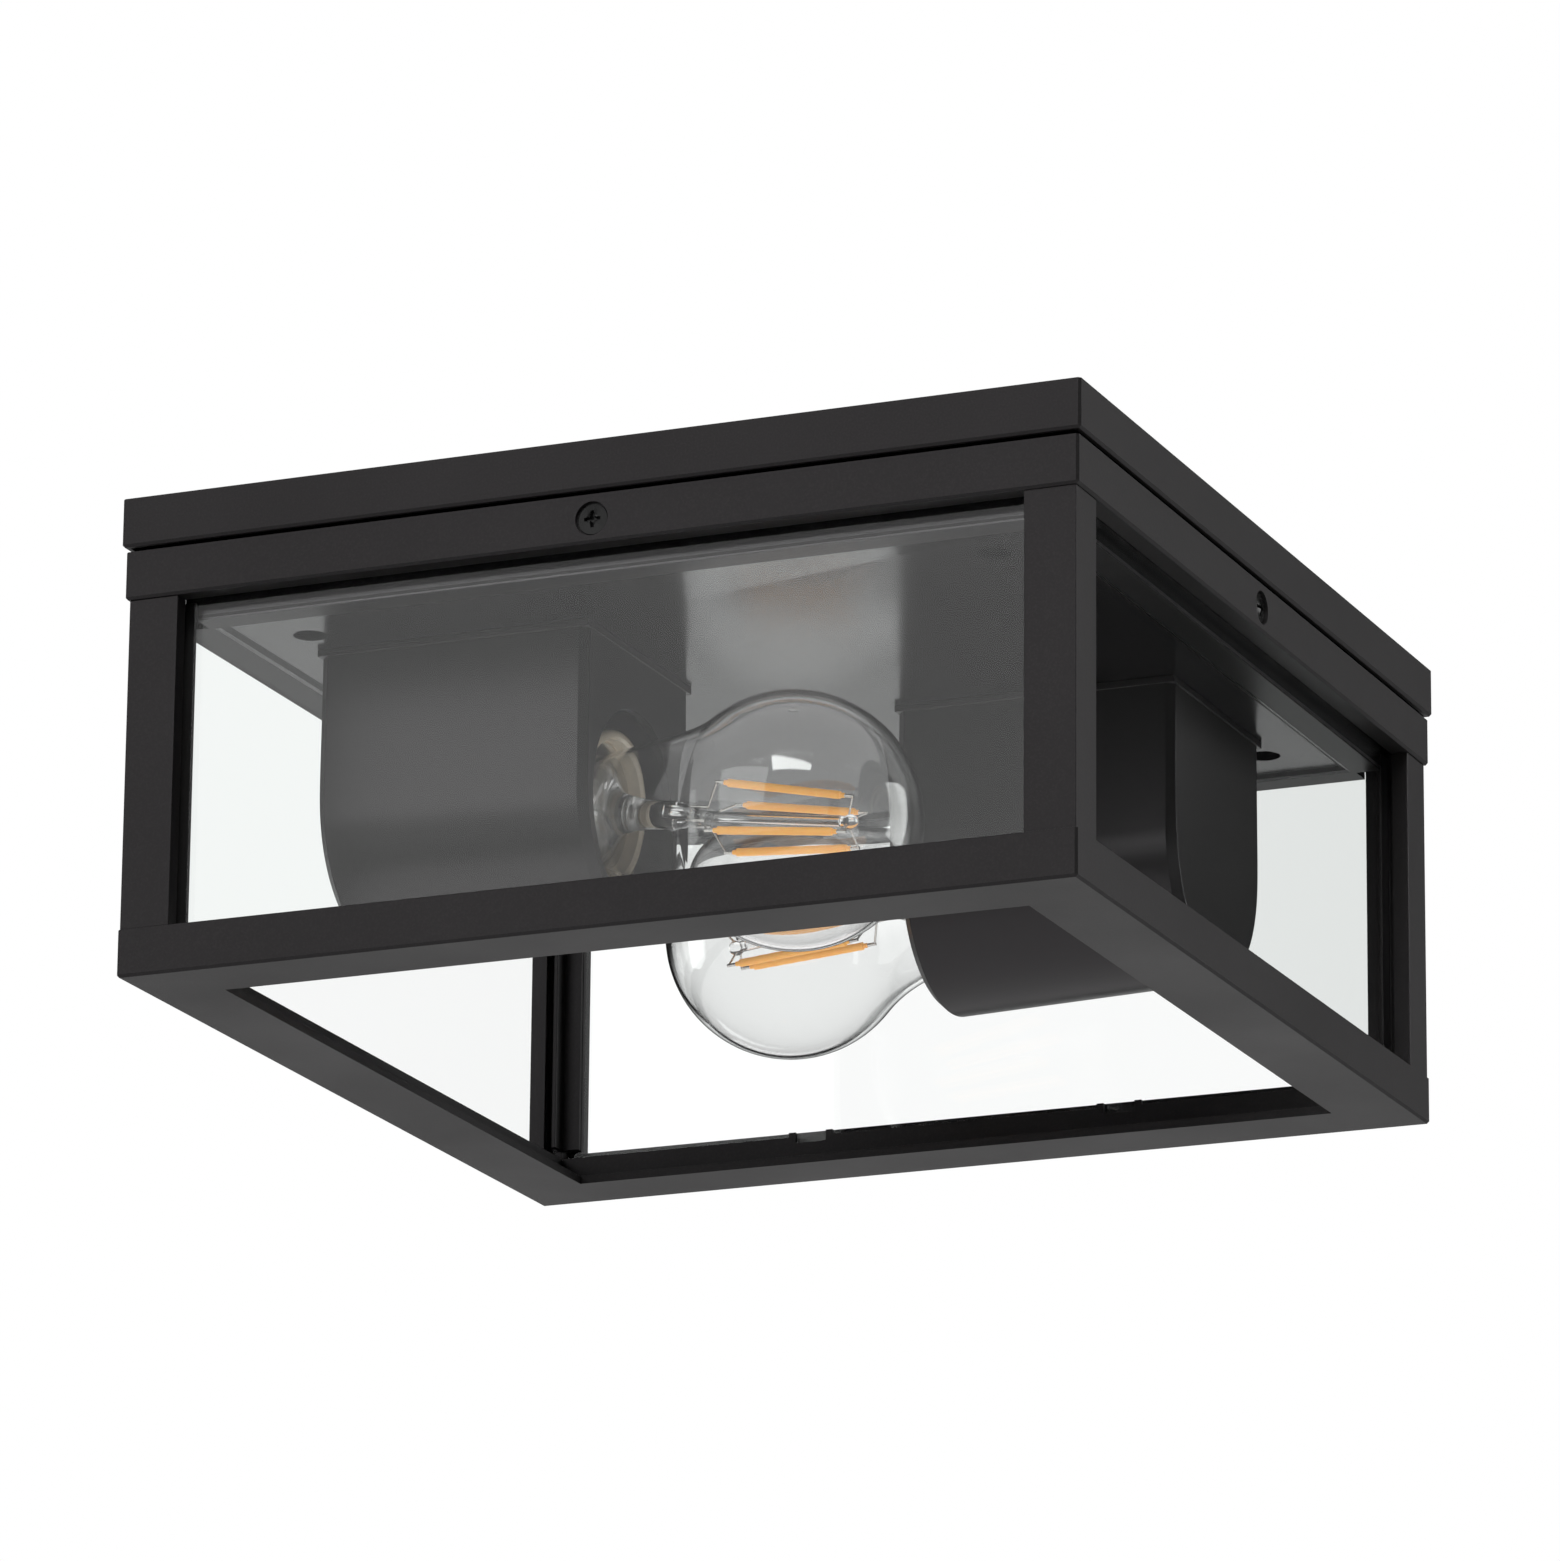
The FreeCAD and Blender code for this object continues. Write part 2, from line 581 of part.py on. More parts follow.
def make_lower_ring():
    """Lower ring: outer wall, wide flange, inner lip with clip windows and four threaded cores."""
    body = new_body("lower_ring")
    outline = sketch_on(body, lift="-foot_top")
    rectangle(outline, "foot_half", "foot_half")
    block = pad(body, outline, "foot_height")
    half = value("foot_half")
    depth = value("lantern_depth")

    def outer_edge(edge):
        return abs(middle(edge).z + depth) < 1e-4 or outermost(half)(edge)

    ease_edges(body, block, "edge_round", outer_edge)
    opening = sketch_on(body, lift="-foot_top")
    rectangle(opening, "opening_half", "opening_half")
    pocket(body, opening, "foot_height")
    channel = sketch_on(body, lift="-foot_top")
    polygon(channel, notched_square("groove_outer", "core_inner"))
    pocket(body, channel, "foot_height - frame_wall")
    lip = sketch_on(body, lift="-foot_floor")
    rectangle(lip, "groove_inner", "groove_inner")
    rectangle(lip, "groove_inner - lip_wall", "groove_inner - lip_wall")
    pad(body, lip, "lip_reach", up=True)
    teeth = sketch_on(body, lift="-(foot_floor - lip_reach)")
    windows = sketch_on(body, lift="-(foot_floor - lip_reach)")
    for turn in QUARTER_TURNS:
        for sign in (-1, 1):
            centre = f"{sign} * clip_place"
            spot = beside_lip(turn, centre)
            rectangle(windows, *beside_lip_sizes(turn, "clip_width / 2", "lip_wall"), *spot)
            for hand in (-1, 1):
                tooth = f"{centre} + {hand} * (clip_width + clip_tooth) / 2"
                spot = beside_lip(turn, tooth)
                rectangle(teeth, *beside_lip_sizes(turn, "clip_tooth / 2", "lip_wall / 2"), *spot)
    pad(body, teeth, "clip_rise", up=True)
    pocket(body, windows, "1.5")
    threads = sketch_on(body, lift="-foot_top")
    for across, along in CORNER_SIGNS:
        circle(threads, "rod_radius", f"{across} * rod_place", f"{along} * rod_place")
    pocket(body, threads, "rod_bite + 1.0")
    return body


def beside_lip(turn, along):
    """Return the centre of something on the lower ring's inner lip, on one of the four sides."""
    level = "(groove_inner - lip_wall / 2)"
    return {0: (along, f"-{level}"), 90: (level, along), 180: (along, level),
            270: (f"-{level}", along)}[turn]


def beside_lip_sizes(turn, half_along, half_across):
    """Return half sizes across X and Y for something that lies along one of the four sides."""
    return (half_along, half_across) if turn in (0, 180) else (half_across, half_along)


def make_post(label, turn):
    """Corner post: an extrusion with two faces, a groove for each pane and a port for the tie rod."""
    body = new_body(label)
    profile = sketch_on(body, lift="-ring_bottom")
    skin = "post_half - frame_wall"
    lip_end = "post_edge + 1.5"
    inner = "groove_inner - lip_wall"
    inner_end = "post_edge - 1.1"
    polygon(profile, [
        ("-post_half", "-post_half"),
        ("-(post_edge)", "-post_half"), ("-(post_edge)", "-groove_outer"),
        (f"-({lip_end})", "-groove_outer"), (f"-({lip_end})", f"-({skin})"),
        ("-core_inner", f"-({skin})"), ("-core_inner", "-groove_inner"),
        (f"-({inner_end})", "-groove_inner"), (f"-({inner_end})", f"-({inner})"),
        (f"-({inner})", f"-({inner})"), (f"-({inner})", f"-({inner_end})"),
        ("-groove_inner", f"-({inner_end})"), ("-groove_inner", "-core_inner"),
        (f"-({skin})", "-core_inner"), (f"-({skin})", f"-({lip_end})"),
        ("-groove_outer", f"-({lip_end})"), ("-groove_outer", "-(post_edge)"),
        ("-post_half", "-(post_edge)"),
    ])
    circle(profile, "rod_radius + rod_play", "-rod_place", "-rod_place")
    block = pad(body, profile, "foot_top - ring_bottom")
    ease_edges(body, block, "edge_round / 2", outermost(value("post_half")), "PartDesign::Fillet")
    body.Placement = side_placement(turn)
    return body


def make_pane(label, turn):
    """Flat pane of clear glass, its edges in the grooves of rings and posts."""
    pane = primitive("Box", label, Length="2 * pane_half", Width="pane_thick",
                     Height="foot_floor - pane_slack - pane_top")
    pane.Label = label
    corner = Vector(-value("pane_half"), -value("pane_outer"), -value("foot_floor - pane_slack"))
    pane.Placement = side_placement(turn) * FreeCAD.Placement(corner, FreeCAD.Rotation())
    return pane


def make_tie_rods():
    """Four long screws: heads on the upper ring's gussets, ends in the lower ring's cores."""
    rods = []
    for number, (across, along) in enumerate(CORNER_SIGNS, start=1):
        head = primitive("Prism", f"rod_head_{number}", Circumradius="2 * rod_radius - 0.2",
                         Height="2.0")
        place(head, up="-(ring_bottom - frame_wall)")
        shank = primitive("Cylinder", f"rod_shank_{number}", Radius="rod_radius",
                          Height="foot_top + rod_bite - ring_bottom + frame_wall")
        place(shank, up="-(foot_top + rod_bite)")
        rod = doc.addObject("Part::MultiFuse", f"rod_{number}")
        rod.Shapes = [head, shank]
        place(rod, f"{across} * rod_place", f"{along} * rod_place")
        rods.append(rod)
    return grouped("tie_rods", rods)


def make_frame_screws():
    """Four pan-head screws, one in the middle of each side, that hold the frame on the base."""
    screws = []
    for turn in QUARTER_TURNS:
        head = primitive("Cone", f"frame_head_{turn}", Radius1="frame_screw_head",
                         Radius2="frame_screw_head - 0.6", Height="frame_screw_seat - 0.1")
        place(head, up="-(frame_screw_seat - 0.1)")
        shank = primitive("Cylinder", f"frame_shank_{turn}", Radius="frame_screw_radius",
                          Height="frame_screw_length - frame_screw_seat / 2")
        place(shank, up="-frame_screw_length")
        screw = doc.addObject("Part::MultiFuse", f"frame_screw_{turn}")
        screw.Shapes = [head, shank]
        face = Vector(0, -value("ring_half - 0.1"), -value("screw_drop"))
        outward = FreeCAD.Rotation(Z_AXIS, Vector(0, -1, 0))
        screw.Placement = side_placement(turn) * FreeCAD.Placement(face, outward)
        screws.append(screw)
    return grouped("frame_screws", screws)


# ------------------------------------------------------------------ lamp housings
def arch(sketch, half, top, centre):
    """Draw a U: two upright sides and a half-round underside."""
    width, high, mid = value(half), value(top), value(centre)
    lines = (
        (Vector(-width, mid, 0), Vector(-width, high, 0)),
        (Vector(-width, high, 0), Vector(width, high, 0)),
        (Vector(width, high, 0), Vector(width, mid, 0)),
    )
    first = sketch.GeometryCount
    for start, end in lines:
        sketch.addGeometry(Part.LineSegment(start, end), False)
    ring = Part.Circle(Vector(0, mid, 0), Z_AXIS, width)
    sketch.addGeometry(Part.ArcOfCircle(ring, math.pi, 2 * math.pi), False)
    round_side = first + 3
    joined = ((first, 2, first + 1, 1), (first + 1, 2, first + 2, 1),
              (first + 2, 2, round_side, 2), (round_side, 1, first, 1))
    for one, end, other, start in joined:
        sketch.addConstraint(Sketcher.Constraint("Coincident", one, end, other, start))
    pin(sketch, first, 1, f"-({half})", centre)
    pin(sketch, first, 2, f"-({half})", top)
    pin(sketch, first + 2, 1, half, top)
    pin(sketch, first + 2, 2, half, centre)
    index = sketch.addConstraint(Sketcher.Constraint("DistanceY", -1, 1, round_side, 3, mid))
    sketch.renameConstraint(index, "round_centre")
    bind(sketch, "Constraints.round_centre", centre)


def make_housing(label, turn):
    """Housing round a lampholder: a rounded trough, closed at one end, with a round mouth."""
    body = new_body(label)
    near, far = "-mouth_place", "-(mouth_place + housing_length)"
    rounding = value("housing_round")
    outside = loft_of_arches(body, "AdditiveLoft", near, far, "housing_half", "-plate_drop",
                             "-mouth_drop", "housing_taper")
    lowest = -value("plate_drop")

    def end_edge(edge):
        point = middle(edge)
        across = min(abs(point.x - value(near)), abs(point.x - value(far)))
        spans = edge.BoundBox.XLength < 0.5
        return spans and across < 0.5 and point.z < lowest - rounding

    ease_edges(body, outside, "housing_round", end_edge)
    loft_of_arches(body, "SubtractiveLoft", f"{near} - housing_wall", f"{far} + housing_wall",
                   "housing_half - housing_wall", "-plate_drop", "-mouth_drop", "housing_taper")
    collar = sketch_on(body, lift="-plate_drop")
    middle_x = "-(mouth_place + housing_length / 2)"
    rectangle(collar, "housing_length / 2 + collar_width", "housing_half + collar_width", middle_x, "0")
    rectangle(collar, "housing_length / 2 - housing_wall", "housing_half - housing_wall", middle_x, "0")
    pad(body, collar, "collar_width")
    mouth = sketch_on(body, role="YZ_Plane", lift="-mouth_place + 5")
    circle(mouth, "mouth_radius", "0", "-mouth_drop")
    pocket(body, mouth, "housing_wall + 12")
    for across, along in housing_screw_places():
        # a pillar in two opposite corners takes a screw from the back of the plate
        spot = (across, f"{along} + lamp_offset")
        pillar = sketch_on(body, lift="-plate_drop")
        circle(pillar, "pillar_radius", *spot)
        pad(body, pillar, "pillar_height")
        thread = sketch_on(body, lift="-plate_drop")
        circle(thread, "small_screw + 0.05", *spot)
        pocket(body, thread, "thread_depth")
    body.Placement = side_placement(turn) * FreeCAD.Placement(
        Vector(0, -value("lamp_offset"), 0), FreeCAD.Rotation())
    return body


def loft_of_arches(body, kind, near, far, half, top, centre, rise):
    """Join two arches, the far one with its round underside lifted by rise."""
    ends = []
    for lift, level in ((near, centre), (far, f"{centre} + {rise}")):
        sketch = sketch_on(body, role="YZ_Plane", lift=lift)
        arch(sketch, half, top, level)
        ends.append(sketch)
    loft = body.newObject("PartDesign::" + kind, body.Name + "_" + kind)
    loft.Profile = ends[0]
    loft.Sections = [ends[1]]
    loft.Ruled = True
    return loft


def make_holder_body(label, turn):
    """Glazed lampholder: a collar at the front, a narrower barrel and a closed back."""
    body = turned_piece(label, [
        ("-holder_setback", "sleeve_outer + 3.4"), ("-holder_setback", "holder_radius"),
        ("-holder_setback - 7", "holder_radius"), ("-holder_setback - 9", "holder_radius - barrel_step"),
        ("holder_back + 3", "holder_radius - barrel_step"),
        ("holder_back", "holder_radius - barrel_step - 2.2"),
        ("holder_back", "0"), ("holder_back + 7", "0"),
        ("holder_back + 7", "sleeve_outer + 0.1"), ("cap_front - 0.2", "sleeve_outer + 0.1"),
        ("cap_front - 0.2", "sleeve_outer + 3.4"),
    ])
    threads = sketch_on(body, role="YZ_Plane", lift="holder_back")
    for sign in (-1, 1):
        circle(threads, "small_screw + 0.05", f"{sign} * holder_screw_pitch / 2", "0")
    pocket(body, threads, "6", up=True)
    body.Placement = lamp_placement(turn)
    return body


def make_sleeve(label, turn):
    """Threaded metal sleeve that the lamp's cap screws into, flanged onto the lampholder."""
    body = turned_piece(label, [
        ("cap_front + 0.3", "sleeve_bore"), ("cap_front + 0.3", "sleeve_outer + 2.6"),
        ("cap_front - 0.2", "sleeve_outer + 2.6"), ("cap_front - 0.2", "sleeve_outer"),
        ("cap_back - 2", "sleeve_outer"), ("cap_back - 2", "sleeve_bore"),
    ])
    body.Placement = lamp_placement(turn)
    return body


def make_contact(label, turn):
    """Springy centre contact: a strip on the lampholder's floor, bent up to the lamp."""
    body = new_body(label)
    sketch = sketch_on(body, role="XZ_Plane")
    floor, tip = "holder_back + 7", "cap_back - 5.6"
    polygon(sketch, [
        (floor, "-9"), (f"{floor} + 0.6", "-9"), (f"{floor} + 0.6", "-4.6"), (tip, "-2.2"),
        (tip, "4.5"), (f"{tip} - 0.6", "4.5"), (f"{tip} - 0.6", "-1.8"), (floor, "-4.2"),
    ])
    strip = pad(body, sketch, "7")
    strip.Midplane = True
    body.Placement = lamp_placement(turn)
    return body


def make_bracket(label, turn):
    """Bent steel bracket: a foot under the plate and a web behind the lampholder."""
    body = new_body(label)
    sketch = sketch_on(body, role="XZ_Plane")
    lean = "tan(lamp_tilt)"
    foot = "-(mouth_place + housing_length - housing_wall - 1)"
    back = "(-mouth_place + holder_back / cos(lamp_tilt))"
    high = "-plate_drop"
    low = "-(mouth_drop + 6)"
    thick = "bracket_thick"
    polygon(sketch, [
        (f"{back} + ({high} + mouth_drop) * {lean}", high),
        (foot, high), (foot, f"{high} - {thick}"),
        (f"{back} + ({high} - {thick} + mouth_drop) * {lean} - {thick}", f"{high} - {thick}"),
        (f"{back} + ({low} + mouth_drop) * {lean} - {thick}", low),
        (f"{back} + ({low} + mouth_drop) * {lean}", low),
    ])
    strip = pad(body, sketch, "bracket_width")
    strip.Midplane = True
    holes = sketch_on(body, role="YZ_Plane", lift="-mouth_place + holder_back - 10")
    for sign in (-1, 1):
        circle(holes, "small_screw + 0.3", f"{sign} * holder_screw_pitch / 2",
               "-mouth_drop - (holder_back - bracket_thick / 2) * sin(lamp_tilt)")
    pocket(body, holes, "20", up=True)
    thread = sketch_on(body, lift="-plate_drop")
    circle(thread, "small_screw + 0.05", "-bracket_screw_place", "0")
    pocket(body, thread, "2 * bracket_thick")
    body.Placement = side_placement(turn) * FreeCAD.Placement(
        Vector(0, -value("lamp_offset"), 0), FreeCAD.Rotation())
    return body


# ------------------------------------------------------------------ lamps
def globe_outline(sketch, wall):
    """Draw half a bulb: globe, throat and neck, each tangent to the next, closed on the axis."""
    centre, radius = value("bulb_reach"), value(f"bulb_radius - {wall}")
    throat = value(f"bulb_throat + {wall}")
    start, neck = value("cap_front"), value(f"neck_radius - {wall}")
    slope = 0.3
    along = Vector(1, slope, 0).normalize()
    across = Vector(-along.y, along.x, 0)
    corner = Vector(start, neck, 0)
    # distance along the neck line at which a throat of that radius touches the globe
    offset = corner + across * throat - Vector(centre, 0, 0)
    dot = offset.dot(along)
    run = -dot - math.sqrt(dot * dot - offset.dot(offset) + (radius + throat) ** 2)
    throat_centre = corner + across * throat + along * run
    towards = (throat_centre - Vector(centre, 0, 0)).normalize()
    touch = Vector(centre, 0, 0) + towards * radius
    globe = Part.ArcOfCircle(Part.Circle(Vector(centre, 0, 0), Z_AXIS, radius),
                             0, math.atan2(towards.y, towards.x))
    from_globe = math.atan2(touch.y - throat_centre.y, touch.x - throat_centre.x)
    from_neck = math.atan2(-across.y, -across.x)
    curve = Part.ArcOfCircle(Part.Circle(throat_centre, Z_AXIS, throat), from_neck, from_globe)
    foot = corner + along * run
    tip = Vector(centre + radius, 0, 0)
    for shape in (globe, curve, Part.LineSegment(foot, corner),
                  Part.LineSegment(corner, Vector(start, 0, 0)),
                  Part.LineSegment(Vector(start, 0, 0), tip)):
        sketch.addGeometry(shape, False)
    add = sketch.addConstraint
    add(Sketcher.Constraint("Tangent", 0, 2, 1, 2))
    add(Sketcher.Constraint("Tangent", 1, 1, 2, 1))
    for one, end, other, first in ((2, 2, 3, 1), (3, 2, 4, 1), (4, 2, 0, 1)):
        add(Sketcher.Constraint("Coincident", one, end, other, first))
    pin(sketch, 0, 3, "bulb_reach", "0")
    add(Sketcher.Constraint("PointOnObject", 0, 1, -1))
    pin(sketch, 3, 1, "cap_front", f"neck_radius - {wall}")
    pin(sketch, 3, 2, "cap_front", "0")
    for number, size in ((0, f"bulb_radius - {wall}"), (1, f"bulb_throat + {wall}")):
        index = add(Sketcher.Constraint("Radius", number, value(size)))
        sketch.renameConstraint(index, f"Radius_{number}")
        bind(sketch, f"Constraints.Radius_{number}", size)


def make_globe(label, turn):
    """Blown glass envelope of the lamp, one even wall from the cap to the tip."""
    body = new_body(label)
    outside = sketch_on(body)
    globe_outline(outside, "0")
    turn_round(body, outside)
    inside = sketch_on(body)
    globe_outline(inside, "bulb_wall")
    turn_round(body, inside, "PartDesign::Groove")
    body.Placement = lamp_placement(turn)
    return body


def make_cap(label, turn):
    """Screw cap of the lamp, closed over the glass neck, with a stepped end."""
    body = turned_piece(label, [
        ("cap_front", "0"), ("cap_front", "cap_radius - 0.4"), ("cap_front - 0.4", "cap_radius"),
        ("cap_back", "cap_radius"), ("cap_back - 0.8", "cap_radius - 1.6"), ("cap_back - 0.8", "0"),
    ])
    body.Placement = lamp_placement(turn)
    return body


def make_insulator(label, turn):
    """Dark glass cone between the cap and its centre contact."""
    body = turned_piece(label, [
        ("cap_back - 0.8", "0"), ("cap_back - 0.8", "cap_radius - 2.4"), ("cap_back - 4.0", "5.6"),
        ("cap_back - 4.0", "0"),
    ])
    body.Placement = lamp_placement(turn)
    return body


def make_tip(label, turn):
    """Soldered centre contact of the lamp."""
    body = turned_piece(label, [
        ("cap_back - 4.0", "0"), ("cap_back - 4.0", "4.8"), ("cap_back - 4.6", "4.6"),
        ("cap_back - 5.3", "3.0"), ("cap_back - 5.3", "0"),
    ])
    body.Placement = lamp_placement(turn)
    return body


def make_stem(label, turn):
    """Glass stem: a flared foot in the neck, a pinched bead and a thin rod up the middle."""
    body = turned_piece(label, [
        ("cap_front", "0"), ("cap_front", "neck_radius - bulb_wall - 0.3"),
        ("cap_front + 1.5", "neck_radius - bulb_wall - 0.6"), ("cap_front + 6", "5.0"),
        ("cap_front + 14", "3.4"), ("bulb_reach - 22", "3.0"), ("bulb_reach - 20", "1.3"),
        ("bulb_reach + 12", "1.3"), ("bulb_reach + 13", "2.0"), ("bulb_reach + 15", "2.0"),
        ("bulb_reach + 16", "0"),
    ])
    body.Placement = lamp_placement(turn)
    return body


FILAMENT_ANGLES = (35, 125, 215, 305)
FILAMENT_NEAR = 6.4
FILAMENT_FAR = 8.6


def filament_line(angle):
    """Return start and end of one filament, which splays outwards towards the cap."""
    start_x = value("bulb_reach - filament_length / 2 - 1.5")
    radial = Vector(0, math.cos(math.radians(angle)), math.sin(math.radians(angle)))
    start = Vector(start_x, 0, 0) + radial * FILAMENT_FAR
    end = Vector(start_x + value("filament_length"), 0, 0) + radial * FILAMENT_NEAR
    return start, end


def make_filaments(label, turn):
    """Four coated filament sticks round the stem."""
    sticks = []
    for angle in FILAMENT_ANGLES:
        start, end = filament_line(angle)
        stick = primitive("Cylinder", f"{label}_{angle}", Radius="filament_radius",
                          Height="filament_length")
        turned = FreeCAD.Rotation(Z_AXIS, end - start)
        stick.Placement = lamp_placement(turn) * FreeCAD.Placement(start, turned)
        sticks.append(stick)
    return grouped(label, sticks)


def make_leads(label, turn):
    """Wires from the stem to both ends of each filament."""
    wires = []
    for angle in FILAMENT_ANGLES:
        start, end = filament_line(angle)
        towards = (end - start).normalize()
        for number, (outer, inner_x, inner_radius) in enumerate((
                (start, value("bulb_reach - 21.5"), 2.4),
                (end, value("bulb_reach + 14"), 1.8))):
            outward = -1 if number == 0 else 1
            stub = outer + towards * outward * 1.2
            radial = Vector(0, stub.y, stub.z).normalize()
            inner = Vector(inner_x, 0, 0) + radial * inner_radius
            for part, (one, other) in enumerate(((outer, stub), (stub, inner))):
                length = (other - one).Length
                wire = primitive("Prism", f"{label}_{angle}_{number}_{part}",
                                 Circumradius="lead_radius", Height=f"{length:.4f}")
                turned = FreeCAD.Rotation(Z_AXIS, other - one)
                wire.Placement = FreeCAD.Placement(one, turned)
                wires.append(wire)
    joined = doc.addObject("Part::MultiFuse", label)
    joined.Shapes = wires
    joined.Label = label
    joined.Placement = lamp_placement(turn)
    return joined


# ------------------------------------------------------------------ fasteners and wiring pieces
def small_screw(name, length, sunk=False):
    """Return a small screw that points down, the underside of its head at its own origin."""
    if sunk:
        head = primitive("Cone", name + "_head", Radius1="small_screw", Radius2="small_head",
                         Height="sheet - 0.1")
    else:
        head = primitive("Prism", name + "_head", Circumradius="small_head", Height="1.6")
    shank = primitive("Cylinder", name + "_shank", Radius="small_screw", Height=length)
    place(shank, up=f"-({length})" if not sunk else f"-({length}) + 0.5")
    screw = doc.addObject("Part::MultiFuse", name)
    screw.Shapes = [head, shank]
    return screw


def make_housing_screws():
    """Four screws through the plate into the pillars of both housings."""
    screws = []
    for turn in (0, 180):
        for number, (across, along) in enumerate(housing_screw_places(), start=1):
            screw = small_screw(f"housing_screw_{turn}_{number}", "plate_thick + 6")
            spot = Vector(value(across), value(along), -value("plate_back"))
            screw.Placement = side_placement(turn) * FreeCAD.Placement(spot, FreeCAD.Rotation())
            screws.append(screw)
    return grouped("housing_screws", screws)


def make_bracket_screws():
    """Two screws through the plate into the feet of the lampholder brackets."""
    screws = []
    for turn in (0, 180):
        screw = small_screw(f"bracket_screw_{turn}", "plate_thick + 2 * bracket_thick")
        spot = Vector(-value("bracket_screw_place"), -value("lamp_offset"), -value("plate_back"))
        screw.Placement = side_placement(turn) * FreeCAD.Placement(spot, FreeCAD.Rotation())
        screws.append(screw)
    return grouped("bracket_screws", screws)


def make_holder_screws():
    """Two screws through each bracket into the back of its lampholder."""
    screws = []
    for turn in (0, 180):
        for name, sign in (("left", -1), ("right", 1)):
            screw = small_screw(f"holder_screw_{turn}_{name}", "bracket_thick + 4.5")
            spot = Vector(value("holder_back - bracket_thick - 0.05"),
                          sign * value("holder_screw_pitch") / 2, 0)
            forward = FreeCAD.Rotation(Z_AXIS, Vector(-1, 0, 0))
            screw.Placement = lamp_placement(turn) * FreeCAD.Placement(spot, forward)
            screws.append(screw)
    return grouped("holder_screws", screws)


def make_base_screws():
    """Two countersunk screws through the tray into the pillars of the base."""
    screws = []
    for name, sign in (("left", -1), ("right", 1)):
        screw = small_screw(f"base_screw_{name}", "base_screw_length", sunk=True)
        place(screw, f"{sign} * base_screw_place", f"-({sign}) * base_screw_place", "-sheet")
        screws.append(screw)
    return grouped("base_screws", screws)


def make_terminal_block():
    """Terminal block on the back of the plate, with a wire port and two screw wells for each pole."""
    body = new_body("terminal_block")
    outline = sketch_on(body, lift="-plate_back")
    rectangle(outline, "terminal_length / 2", "terminal_width / 2")
    pad(body, outline, "terminal_height", up=True)
    wells = sketch_on(body, lift="-plate_back + terminal_height")
    ports = sketch_on(body, role="XZ_Plane")
    for place_x in ("-terminal_length / 3", "terminal_length / 3"):
        for sign in (-1, 1):
            circle(wells, "port_radius", place_x, f"{sign} * terminal_width / 4")
        circle(ports, "port_radius", place_x, "-plate_back + terminal_height / 2")
    pocket(body, wells, "terminal_height / 2 - port_radius - 0.6")
    bore = pocket(body, ports, "2 * terminal_width")
    bore.Midplane = True
    fixing = sketch_on(body, lift="-plate_back + terminal_height")
    circle(fixing, "small_head + 0.3")
    pocket(body, fixing, "terminal_height - 3")
    passage = sketch_on(body, lift="-plate_back + terminal_height")
    circle(passage, "small_screw + 0.1")
    pocket(body, passage, "terminal_height")
    return body


def make_terminal_screw():
    """Screw that holds the terminal block on the plate."""
    screw = small_screw("terminal_screw", "3 + plate_thick - 0.3")
    place(screw, up="-plate_back + 3")
    return screw


# ------------------------------------------------------------------ assembly
pieces = [make_tray(), make_grommet(), make_base(), make_terminal_block(), make_terminal_screw(),
          make_base_screws(), make_upper_ring(), make_lower_ring(), make_tie_rods(),
          make_frame_screws(), make_housing_screws(), make_bracket_screws(), make_holder_screws()]
SIDES = ((0, "front"), (90, "right"), (180, "back"), (270, "left"))
CORNERS = ((0, "front_left"), (90, "front_right"), (180, "back_right"), (270, "back_left"))
for side_turn, side_name in SIDES:
    pieces.append(make_pane("glass_" + side_name, side_turn))
for corner_turn, corner_name in CORNERS:
    pieces.append(make_post("post_" + corner_name, corner_turn))
LAMP_MAKERS = (
    ("lamp_housing", make_housing), ("holder_bracket", make_bracket),
    ("lampholder", make_holder_body), ("thread_sleeve", make_sleeve),
    ("centre_contact", make_contact), ("bulb_globe", make_globe), ("bulb_cap", make_cap),
    ("bulb_insulator", make_insulator), ("bulb_contact", make_tip), ("bulb_stem", make_stem),
    ("bulb_filaments", make_filaments), ("bulb_leads", make_leads),
)
for lamp_number, lamp_turn in ((1, 0), (2, 180)):
    for stem_name, maker in LAMP_MAKERS:
        pieces.append(maker(f"{stem_name}_{lamp_number}", lamp_turn))

doc.recompute()
for item in doc.Objects:
    faults = [state for state in item.State if state in ("Invalid", "Error")]
    if faults:
        raise RuntimeError(f"{item.Name} is {faults}")
for piece in pieces:
    if piece.Shape.isNull() or not piece.Shape.isValid():
        raise RuntimeError(f"{piece.Label} has no sound shape")

os.makedirs("parts", exist_ok=True)
for piece in pieces:
    piece.Shape.exportStep(f"parts/{piece.Label}.step")
    print(f"{piece.Label}: {len(piece.Shape.Solids)} solid, {piece.Shape.Volume:.1f} mm3")
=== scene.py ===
"""Porch ceiling lantern: finishes, fine shapes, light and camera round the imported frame."""

import logging
import math
from dataclasses import dataclass
from enum import Enum
from functools import cached_property
from typing import Optional, Sequence

import bmesh
import bpy
from mathutils import Matrix, Vector

